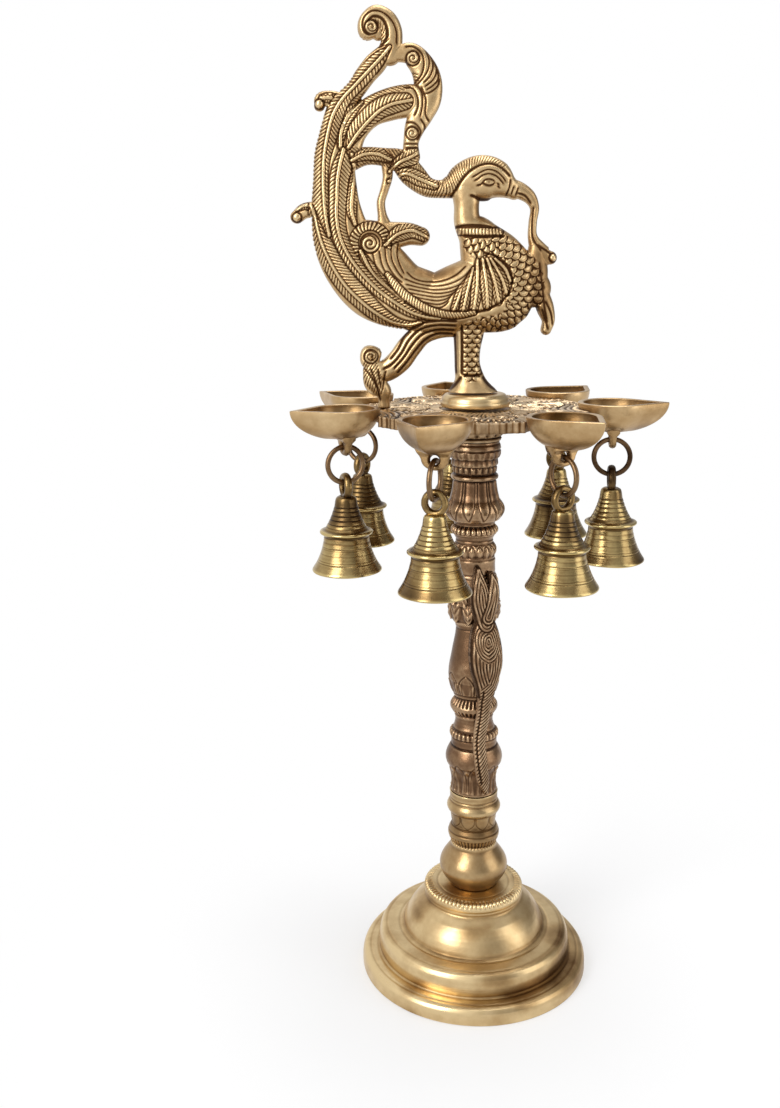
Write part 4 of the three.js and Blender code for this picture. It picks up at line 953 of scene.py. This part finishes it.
def peacock():
    relief = Relief((-86, -6.4), (42, 170.5), 0.38, PEACOCK.values(), level=0.34)
    x, z = relief.xs[:, None], relief.ys[None, :]
    floor = np.where(x > REAR_FOOT_X, SEAT_GAP, TRAY_FACE + SEAT_GAP - STAND_TOP)
    relief.phi = np.minimum(relief.phi, z - floor)
    for pitch, slant, points in HATCHES:
        relief.hatch(points, pitch, slant, depth=0.26)
    for size, points in SCALES:
        relief.scales(points, size)
    relief.sunrays((-46.8, 67.8), 5.4, 9.4, 28, start=-20, end=235)
    for points in SMALL_FEATHERS:
        relief.feather(points, pitch=1.5)
    for tooth, points in LARGE_FEATHERS:
        relief.feather(points, pitch=1.75, tooth=tooth)
    for points in COVERTS:
        relief.groove(points, 0.34, 0.42)
    for points in PLUMES:
        relief.feather(points, pitch=1.9, slant=1.5, lift=0.35, rachis=0.3)
    for pitch, height, slant, points in ROPES:
        relief.rope(points, pitch, height, slant)
    for points in LINES:
        relief.groove(points)
    for points in BOLD_LINES:
        relief.groove(points, 0.55, 0.75, 0.62)
    for at, height, radius, turns in EYES:
        relief.eye((at, height), radius, turns)
    for darken_patch in DARK_PATCHES:
        relief.darken_patch(*darken_patch)
    front, back, recess = relief.surfaces()
    return lifted(relief_plate(relief.xs, relief.ys, relief.phi, -front, -back, recess,
                               upright=True), STAND_TOP)


make_piece("peacock_relief", peacock(), gold, "lamp", ["peacock"])


# Bird on the column: [across, height in per cent of the middle segment, half width, depth, y]
BIRD_AZIMUTH = 21
BIRD = {
    'body': [(0, 107, 4, 2.6, -10.4), (0, 96, 7.2, 4, -11.2), (0, 79.5, 8.2, 4.6, -12.8),
        (0, 63, 4.6, 3.2, -12.4)],
    'neck': [(0, 103, 4.6, 3, -10.8), (-2.2, 114, 5, 3, -11.4), (-2.8, 123.5, 4.2, 2.6, -11),
        (-3.4, 132.5, 1.8, 1.6, -10.6)],
    'head': [(1, 106, 4, 3, -11), (3.6, 116.5, 3.6, 2.6, -11.4), (4.2, 123.5, 2.8, 2.2, -11),
        (3.2, 129.5, 1.6, 1.6, -10.8)],
    'tail': [(0, 65, 3.8, 2.6, -12.4), (-0.8, 51, 3.5, 2, -12), (-2.6, 34.5, 3.3, 2, -11.4),
        (-2.8, 21.5, 3.3, 2, -13.8), (-0.8, 9.5, 3, 2, -12.4), (0.6, 3.5, 1.4, 1.4, -11.6)],
}
WING_CENTRE, WING_OVAL, WING_REACH = 0.925, 0.68, 9.6  # height as a share, width to height, mm


def column_bird():
    raised = {name: [(u, MIDDLE_BOTTOM + q / 100 * MIDDLE_LENGTH, *rest) for u, q, *rest in points]
              for name, points in BIRD.items()}
    relief = Relief((-10, 88), (10, 204), 0.26, raised.values())
    for name in ("body", "neck", "head"):
        _, window, (_, _, away, half) = relief.band([p[:3] for p in raised[name]], 0.4)
        x = relief.xs[window[0]][:, None] / WING_OVAL
        z = relief.ys[window[1]][None, :] - MIDDLE_BOTTOM - WING_CENTRE * MIDDLE_LENGTH
        shaky = 0.3 * np.sin(3 * np.arctan2(z, x) + 0.4 * z)
        shaky = shaky + 0.12 * np.sin(5 * np.arctan2(z, x) + 1 + 0.5 * x)
        wave = np.cos(2 * np.pi * (half - away + 0.6 * shaky) / 1.45)
        if name == "body":
            oval = np.hypot(x, z)
            wave = np.where(oval < WING_REACH, np.cos(2 * np.pi * (oval + shaky) / 1.6), wave)
        fade = 0.72 + 0.28 * np.sin(0.9 * z + 1.3 * np.sin(0.8 * x))
        dark = 0.46 * fade * unit(-wave) + 0.12 * (1 - fade) + hump(half - away, 0.4)
        relief.put(window, 0.28 * wave * fade, np.clip(dark, 0, 0.7), unit((half - away) / 0.4))
    tail = raised["tail"]
    relief.hatch([(*p[:2], p[2] - 0.2) for p in tail], pitch=1.8, slant=1.0, depth=0.3)
    relief.groove([(p[0] - 0.55 * p[2], p[1]) for p in tail[:-1]], 0.4, 0.5, 0.45)
    front, back, recess = relief.surfaces(edge_fade=0.8, both=False, spread=1.0)
    front, back = 2 * relief.middle - front, 2 * relief.middle - back  # it faces -Y
    points, quads, recess = relief_plate(relief.xs, relief.ys, relief.phi, front, back, recess,
                                         upright=True)
    return turned_about(points, BIRD_AZIMUTH), quads, recess


make_piece("bird_relief", column_bird(), bird_bronze, "lamp", ["column_bird"])


# Tray: a lobed plate chased with leaves, on a flared hub whose outline is in per cent
SECTOR = 360 / CUP_COUNT
CUP_AZIMUTHS = [FIRST_CUP + SECTOR * k for k in range(CUP_COUNT)]
HUB = [(100, 0), (103, 2), (104, 10), (100, 16), (106, 24), (112, 32), (120, 50), (130, 64),
       (146, 80), (175, 93), (210, 98.5), (250, 100)]
HUB_TENON = 0.6  # how far the hub reaches into the plate
LEAF_START, LEAF_LENGTH, LEAF_END = 20.5, 24, 45
SCROLL_TURN, SCROLL_ORBIT, SCROLL_SIZE = 16, 34, 4.2  # on both sides of each cup
FLOWER_ORBIT, FLOWERS = 47.6, ((0, 2.6), (-9.5, 1.7), (9.5, 1.7))  # angle and size
TRAY_CELL, UNDERSIDE_MARK = 0.36, 0.55


def tray_plate():
    xs = np.arange(-TRAY_RADIUS - 1, TRAY_RADIUS + 1 + TRAY_CELL, TRAY_CELL)
    x, y = np.meshgrid(xs, xs, indexing="ij")
    r, turn = np.hypot(x, y), np.arctan2(x, -y)
    height, mark = np.zeros((2, *r.shape))

    def seen_from(azimuth, orbit):
        """Distance and direction from a place on the tray."""
        a = math.radians(azimuth)
        dx, dy = x - orbit * math.sin(a), y + orbit * math.cos(a)
        return np.hypot(dx, dy), np.arctan2(dy, dx)

    def wave(share, value, depth, dark):
        """Cut a wavy pattern, 1 on its crests and -1 in its grooves."""
        nonlocal height, mark
        height = height * (1 - share) + share * depth * value
        mark = mark * (1 - share) + share * dark * unit(-value)

    away = np.min([seen_from(a, CUP_ORBIT)[0] for a in CUP_AZIMUTHS], axis=0)
    local = np.mod(np.degrees(turn) - FIRST_CUP, SECTOR) - SECTOR / 2
    lobes = 0.9 * np.abs(np.cos(np.radians(local) * 14)) ** 0.6 + 0.28 * np.cos(turn * 112) - 1.18
    phi = np.minimum(TRAY_RADIUS - 0.15 + lobes - r, away - (CUP_RADIUS + 0.35))
    flow = np.cos(2 * np.pi * (away / 2.6 + 0.3 * np.sin(r / 3)))
    wave(window_fade(r, LEAF_START + 0.1, 60), flow, 0.34, 0.3)
    u = np.abs(local / (SECTOR / 2))
    t = unit((r - LEAF_START) / LEAF_LENGTH)
    reach = 0.95 * np.sqrt(np.maximum(1 - t**2.2, 0)) * unit(t * 6 + 0.25)
    chased = window_fade(r, LEAF_START + 0.1, LEAF_END)
    leaf = unit((reach - u) * 8) * chased
    wave(leaf, np.cos(2 * np.pi * (6.2 * u**0.9 - r / 7.5 + 0.25 * np.sin(r / 2.4))), 0.45, 0.42)
    quill = hump(local * r / 57.3, 0.6)
    border = hump(reach - u, 0.05) * chased
    height += leaf * (0.5 * quill + 0.3 * (1 - u)) - 0.5 * border
    mark = np.maximum(mark * (1 - quill * leaf), 0.45 * border)
    for a in CUP_AZIMUTHS:
        for way in (-1, 1):
            d, angle = seen_from(a + way * SCROLL_TURN, SCROLL_ORBIT)
            spiral = np.cos(2 * np.pi * d / 1.9 - way * angle)
            wave(unit((SCROLL_SIZE - d) / 0.5), spiral, 0.42, 0.45)
            mark = np.maximum(mark, 0.4 * hump(d - SCROLL_SIZE, 0.4))
    round_disc = window_fade(r, STAND_RADIUS + 0.4, LEAF_START)
    round_cups = window_fade(away, CUP_RADIUS + 0.2, CUP_RADIUS + 2.4, 0.5)
    wave(round_disc, np.cos(turn * 44 + 1.1 * (r - 16)), 0.42, 0.4)
    wave(round_cups, np.cos(turn * 130), 0.3, 0.4)
    for a in CUP_AZIMUTHS:
        for offset, size in FLOWERS:
            d, angle = seen_from(a + SECTOR / 2 + offset, FLOWER_ORBIT)
            share = unit((size + 0.9 - d) / 0.4)
            flower = (0.9 * hump(d, 0.4 * size) + 0.4 * hump(d - size, 0.5)
                      + 0.25 * np.cos(8 * angle) * hump(d - 0.7 * size, 0.5) - 0.35)
            height = height * (1 - share) + share * flower
            mark = mark * (1 - share) + 0.45 * hump(d - size - 0.9, 0.4)
    height = np.where(r < STAND_RADIUS + 0.5, -0.4, height) - 0.75
    height = height * unit(phi / 0.6) - 0.35 * unit(1 - phi / 0.6)
    low = TRAY_TOP - TRAY_EDGE
    mean = mean_near(height, phi, int(1.4 / TRAY_CELL))
    recess = 0.36 + 0.7 * (mean - height) + mark * (phi > 0.5)
    points, quads, marks = relief_plate(xs, xs, phi, TRAY_TOP + np.minimum(height, 0.0),
                                        np.full_like(r, low), recess, wall=5)
    # The flat underside is marked darker.
    return points, quads, np.where(points[:, 2] < low + 0.01, UNDERSIDE_MARK, marks)


def tray_hub():
    rise = TRAY_TOP - TRAY_EDGE - TRAY_BOTTOM
    outline = scaled(HUB, COLUMN_RADIUS, rise, TRAY_BOTTOM)
    top = TRAY_BOTTOM + rise + HUB_TENON
    profile = soft_profile([(0, TRAY_BOTTOM), *outline, (outline[-1][0], top), (0, top)], 0.4)

    def ribs(angle, s, z):
        q = (z - TRAY_BOTTOM) / rise * 100
        return flutes(angle, q, 24, 96, 16, 0.8, sharp=0.8) + rings(q, (5, 17), 0.4, 3)

    return revolved(profile, 224, ribs, strength=0.7, base=0.5)


make_piece("tray_chased", joined(tray_plate(), tray_hub()), leaf_brass, "lamp",
           ["tray"], crease=55)


# Disc of the peacock: [inwards from its radius, height above its underside]
STAND_EDGE = [(0.5, 0), (0, 0.5), (0, 2.2), (0.3, 2.6), (0.5, 2.8), (0.8, 4.2), (1.4, 5),
              (2.2, STAND_TOP - STAND_Z - 0.25), (3.2, STAND_TOP - STAND_Z)]


def stand():
    edge = [(STAND_RADIUS - inwards, STAND_Z + up) for inwards, up in STAND_EDGE]
    return revolved(soft_profile([(0, STAND_Z), *edge, (0, STAND_TOP)], 0.3), 200, base=0.32)


make_piece("stand_disc", stand(), polished, "lamp", ["peacock_stand"], crease=60)


# Cups: teardrop bowls with a pierced lug
SPOUT = math.acos(CUP_RADIUS / (TIP_RADIUS - CUP_ORBIT))  # angle at which the spout's sides leave
SIDE_STEPS, TIP_STRETCH, BOWL_FLOOR = 48, 1.6, 0.373
BOWL_MARK, DEPTH_DARKENING = 0.34, 0.12


def bowl():
    side = np.linspace(0, math.pi, SIDE_STEPS + 1) ** 1.15 * math.pi ** -0.15
    angle = np.r_[side, -side[-2:0:-1]]
    stretch = 1 / np.cos(np.maximum(0, SPOUT - np.abs(angle)))
    # the very tip is a little rounded
    stretch = np.minimum(stretch, TIP_STRETCH * (1 - 0.012 * hump(angle, 0.05)))

    def wall(places, thick, lean):
        return [((CUP_RADIUS - thick - lean * level) * math.sqrt(1 - (1 - level) ** 2 * 0.86),
                 CUP_RIM_Z - (CUP_DEPTH - thick) * (1 - level) - (0.25 if level == 1 else 0))
                for level in places**1.6]

    low = [(CUP_RADIUS * t, CUP_FLOOR_Z) for t in (0.01, BOWL_FLOOR * 0.35, BOWL_FLOOR * 0.7)]
    lip = [(CUP_RADIUS - inwards, CUP_RIM_Z - down)
           for inwards, down in ((0.25, 0.03), (0.8, 0), (1.9, 0), (2.2, 0.12))]
    inner, inner_floor = CUP_RADIUS - CUP_WALL, CUP_FLOOR_Z + CUP_WALL
    floor = [(r, inner_floor) for r in (inner * BOWL_FLOOR * 0.7, inner * BOWL_FLOOR * 0.35, 0.01)]
    outside = [*low, *wall(np.linspace(0, 1, 28), 0, 0), *lip]
    skin = np.array([*outside, *wall(np.linspace(1, 0, 22), CUP_WALL, 0.8), *floor])
    radius = skin[:, :1] * stretch
    height = skin[:, 1:] + 0 * radius
    points = np.stack([radius * np.sin(angle), -radius * np.cos(angle), height], -1).reshape(-1, 3)
    depth = (CUP_RIM_Z - height) / CUP_DEPTH
    within = (np.arange(len(skin)) > len(outside))[:, None]
    # The bowl is painted darker towards its bottom, and more so inside.
    marks = BOWL_MARK + np.where(within, DEPTH_DARKENING + 0.4 * depth, DEPTH_DARKENING * depth)
    return points, outward(points, grid_faces(*radius.shape)), marks.ravel()


LUG_FOOT, LUG_WIDE, LUG_THICK, LUG_CELL = 4.5, 6.0, 1.55, 0.3


def lug():
    """A pierced plate across the cup's radius, wide where it joins the bowl."""
    xs = np.arange(-10, 10, LUG_CELL)
    zs = np.arange(LUG_HOLE_Z - 5.6, CUP_FLOOR_Z + 1.6, LUG_CELL)
    x, z = np.meshgrid(xs, zs - LUG_HOLE_Z, indexing="ij")
    top = CUP_FLOOR_Z + 1.2 - LUG_HOLE_Z
    body = np.where(z > 0, LUG_WIDE + 2.7 * unit(z / top) - np.abs(x),
                    LUG_FOOT - np.hypot(x * LUG_FOOT / LUG_WIDE, z))
    hole = np.hypot(x, z) - LUG_HOLE_RADIUS
    phi = np.minimum(np.minimum(body, top - z + 0.3), hole)
    thick = LUG_THICK * unit(phi / 0.9) ** 0.5 + 1.3 * unit((z - LUG_HOLE_RADIUS + 0.4) / 1.6)
    thick = np.maximum(thick, 0.35)
    return relief_plate(xs, zs, phi, -thick, thick, 0.5 + 0 * phi, upright=True)


def torus(radius, wire, around, section, across=False):
    """A bent wire in the plane of the cup's radius, or across it."""
    a = np.linspace(0, 2 * np.pi, around, endpoint=False)[:, None]
    c = np.linspace(0, 2 * np.pi, section, endpoint=False)[None, :]
    wobble = wire * (1 + 0.02 * np.sin(2 * a + 0.7) + 0.015 * np.sin(5 * a))
    out, depth = radius + wobble * np.cos(c), wobble * np.sin(c)
    flat, rise = out * np.cos(a), out * np.sin(a)
    axes = (flat, depth, rise) if across else (depth, flat, rise)
    points = np.stack(axes, -1).reshape(-1, 3)
    faces = grid_faces(around, section, ring=True)
    return points, outward(points, faces), np.full(len(points), 0.42)


# Bells: outside and inside below the crown, per cent of the mouth's radius and the length
BELL_OUTSIDE = [(0, 14.5), (20, 15), (28.5, 17), (31, 20), (33, 25.5), (37, 31), (42, 37),
    (49, 43.5), (56, 48.5), (60, 51), (63, 52.6), (74, 53.8), (76.5, 54.8), (76.5, 56), (74, 57),
    (66, 58.6), (64.5, 61), (66, 66), (71.5, 75), (79, 83), (88, 90.5), (97, 96), (100.5, 98),
    (100.5, 99.3), (98.6, 100)]
BELL_INSIDE = [(92.5, 100), (84, 92), (72, 81), (61, 69), (54, 57), (45, 47), (34, 36), (24, 28),
    (0, 22.5)]
BELL_SKIN = 50  # the outside is this last part of the way along the outline
EYE_CENTRE, EYE_RADIUS, EYE_HOLE, EYE_THICK, EYE_CELL = -1.6, 6.0, 2.9, 1.8, 0.27
STAPLE_RADIUS, STAPLE_WIRE, STAPLE_Z = 1.7, 0.55, -9.9
HOOK_RADIUS, HOOK_WIRE, LINK_GAP = 1.8, 0.6, 0.3
BALL_RADIUS = 3.6


def bell():
    outline = [*BELL_OUTSIDE, *BELL_INSIDE][::-1]
    profile = soft_profile(scaled(outline, BELL_MOUTH_RADIUS, -BELL_LENGTH), 0.34)

    def cuts(angle, s, z):
        q = -z / BELL_LENGTH * 100
        lines = rings(q, (27, 31.5, 36, 41, 45.5, 49.5), 0.26, 0.42)
        lines = lines + rings(q, (60.5, 66, 71.5, 73.3, 79, 86, 88), 0.2, 0.36)
        dents = 0.07 * np.sin(3 * angle + 0.15 * s) + 0.05 * np.sin(5 * angle + 1)
        return lines * (s > s.max() - BELL_SKIN) + dents

    body = revolved(profile, 128, cuts, spread=1.0, strength=1.5)
    xs = np.arange(-7, 7, EYE_CELL)
    zs = np.arange(EYE_CENTRE - 7, EYE_CENTRE + 7, EYE_CELL)
    d = np.hypot(xs[:, None], zs[None, :] - EYE_CENTRE)
    phi = np.minimum(EYE_RADIUS - d, d - EYE_HOLE)
    bulge = np.sqrt(np.clip(1 - (1 - phi / ((EYE_RADIUS - EYE_HOLE) / 2)) ** 2, 0.02, 1))
    thick = np.maximum(EYE_THICK * bulge, 0.3)
    eye = relief_plate(xs, zs, phi, -thick, thick, 0.46 + 0 * phi, upright=True)
    return joined(body, eye, lifted(torus(STAPLE_RADIUS, STAPLE_WIRE, 32, 10), STAPLE_Z))


def clapper():
    ball_z = 1.45 * BALL_RADIUS - BELL_LENGTH
    hook_z = STAPLE_Z - STAPLE_RADIUS + STAPLE_WIRE + HOOK_WIRE + LINK_GAP - HOOK_RADIUS
    turn = np.linspace(-math.pi / 2, math.pi / 2, 26)
    ball = [(BALL_RADIUS * math.cos(t), ball_z + BALL_RADIUS * math.sin(t)) for t in turn]
    stem = [(0.9, ball_z + 3.4), (0.85, hook_z - 4), (0.9, hook_z - 1.6), (0, hook_z - 1.3)]
    profile = soft_profile([(0, ball_z - BALL_RADIUS), *ball[1:-4], *stem], 0.35)
    hook = lifted(torus(HOOK_RADIUS, HOOK_WIRE, 32, 10, across=True), hook_z)
    return joined(hook, revolved(profile, 40, base=0.5))


LINKS = (
    ("bowl", joined(bowl(), lug()), 0, smooth_brass, "polished_brass", 50),
    ("ring", torus(RING_RADIUS, WIRE_RADIUS, 72, 16), RING_CENTRE_Z, wire_metal, "bell_brass",
     None),
    ("bell", bell(), BELL_PIVOT_Z, bell_metal, "bell_brass", 50),
    ("clapper", clapper(), BELL_PIVOT_Z, wire_metal, "bell_brass", None))
for n, azimuth in enumerate(CUP_AZIMUTHS, 1):
    for kind, (points, quads, marks), raised, material, slot, crease in LINKS:
        placed = turned_about(points, azimuth, (0, -CUP_ORBIT, raised))
        node, body = (f"cup_{n}", "lamp") if kind == "bowl" else (f"{kind}_{n}", f"{kind}_{n}")
        make_piece(f"{kind}_{n}_cast", (placed, quads, marks), material, body, [node], crease)


# Floor, world and soft studio lights
def ray_kinds(nodes):
    """Where a ray comes from the camera or off a shiny surface, and where from the latter."""
    straight = nodes.add("LightPath", "Is Camera Ray", {})
    kinds = straight.node.outputs
    shiny = nodes.maths("MAXIMUM", kinds["Is Glossy Ray"], kinds["Is Transmission Ray"])
    return nodes.maths("MAXIMUM", straight, shiny), shiny


FLOOR_ROWS, FLOOR_SIDES, FLOOR_Z = (0.1, 0.3, 1.0, 4.0), 64, -0.0004


def make_floor():
    """A pale disc that turns to pure white away from the lamp."""
    angle = np.linspace(0, 2 * np.pi, FLOOR_SIDES, endpoint=False)
    rows = np.array(FLOOR_ROWS)[:, None]
    points = np.stack([rows * np.cos(angle), rows * np.sin(angle), 0 * rows * angle + FLOOR_Z], -1)
    faces = grid_faces(len(FLOOR_ROWS), FLOOR_SIDES).tolist() + [list(range(FLOOR_SIDES))]
    mesh = bpy.data.meshes.new("studio_floor")
    mesh.from_pydata(points.reshape(-1, 3).tolist(), [], faces)
    floor = new_object("studio_floor", mesh)
    material = bpy.data.materials.new("pale_floor")
    nodes = Nodes(material)
    shader = material.node_tree.nodes["Principled BSDF"]
    nodes.feed(shader, {
        "Base Color": (0.86, 0.86, 0.86, 1), "Roughness": 0.9, "Specular IOR Level": 0.1})
    seen, _ = ray_kinds(nodes)
    place = nodes.add("TexCoord", "Object", {})
    distance = nodes.add("VectorMath", "Value", {0: place}, operation="LENGTH")
    far = nodes.map_range(distance, 0.07, 0.24, 0.45, 1.0, "SMOOTHSTEP")
    mix = nodes.add("MixShader", "Shader", {
        "Fac": nodes.maths("MULTIPLY", far, seen), 1: shader.outputs["BSDF"],
        2: nodes.add("Emission", "Emission", {})})
    nodes.feed(material.node_tree.nodes["Material Output"], {"Surface": mix})
    mesh.materials.append(material)


def make_world():
    """A studio seen by shiny metal: brightest from the left, dimmer to the right."""
    world = bpy.data.worlds.new("studio")
    bpy.context.scene.world = world
    nodes = Nodes(world)
    seen, shiny = ray_kinds(nodes)
    place = nodes.add("TexCoord", "Generated", {})
    side = nodes.add("SeparateXYZ", "X", {0: place})
    ramp = nodes.map_range(side, -0.35, 0.75, 1.0, 0.34, "SMOOTHSTEP")
    grey = nodes.add("CombineColor", "Color", dict.fromkeys(("Red", "Green", "Blue"), ramp))
    shade = nodes.mixed(shiny, (1, 1, 1, 1), grey)
    nodes.feed(world.node_tree.nodes["Background"], {
        "Color": nodes.mixed(seen, (0.55, 0.55, 0.56, 1), shade), "Strength": 1.0})


def soft_light(name, place, target, size, power):
    data = bpy.data.lights.new(name, "AREA")
    data.shape = "RECTANGLE"
    data.size, data.size_y = size
    data.energy = power
    light = new_object(name, data)
    light.location = place
    light.rotation_euler = (Vector(target) - Vector(place)).to_track_quat("-Z", "Y").to_euler()


make_floor()
make_world()
soft_light("key_light", (-0.75, -0.75, 0.75), (0, 0, 0.2), (0.5, 0.9), 9)
soft_light("side_light", (0.9, -0.35, 0.5), (0, 0, 0.22), (0.6, 1.1), 3.8)
soft_light("top_light", (0.1, 0.15, 1.3), (0, 0, 0.2), (0.7, 0.7), 6)

bpy.context.scene.view_settings.view_transform = "Standard"
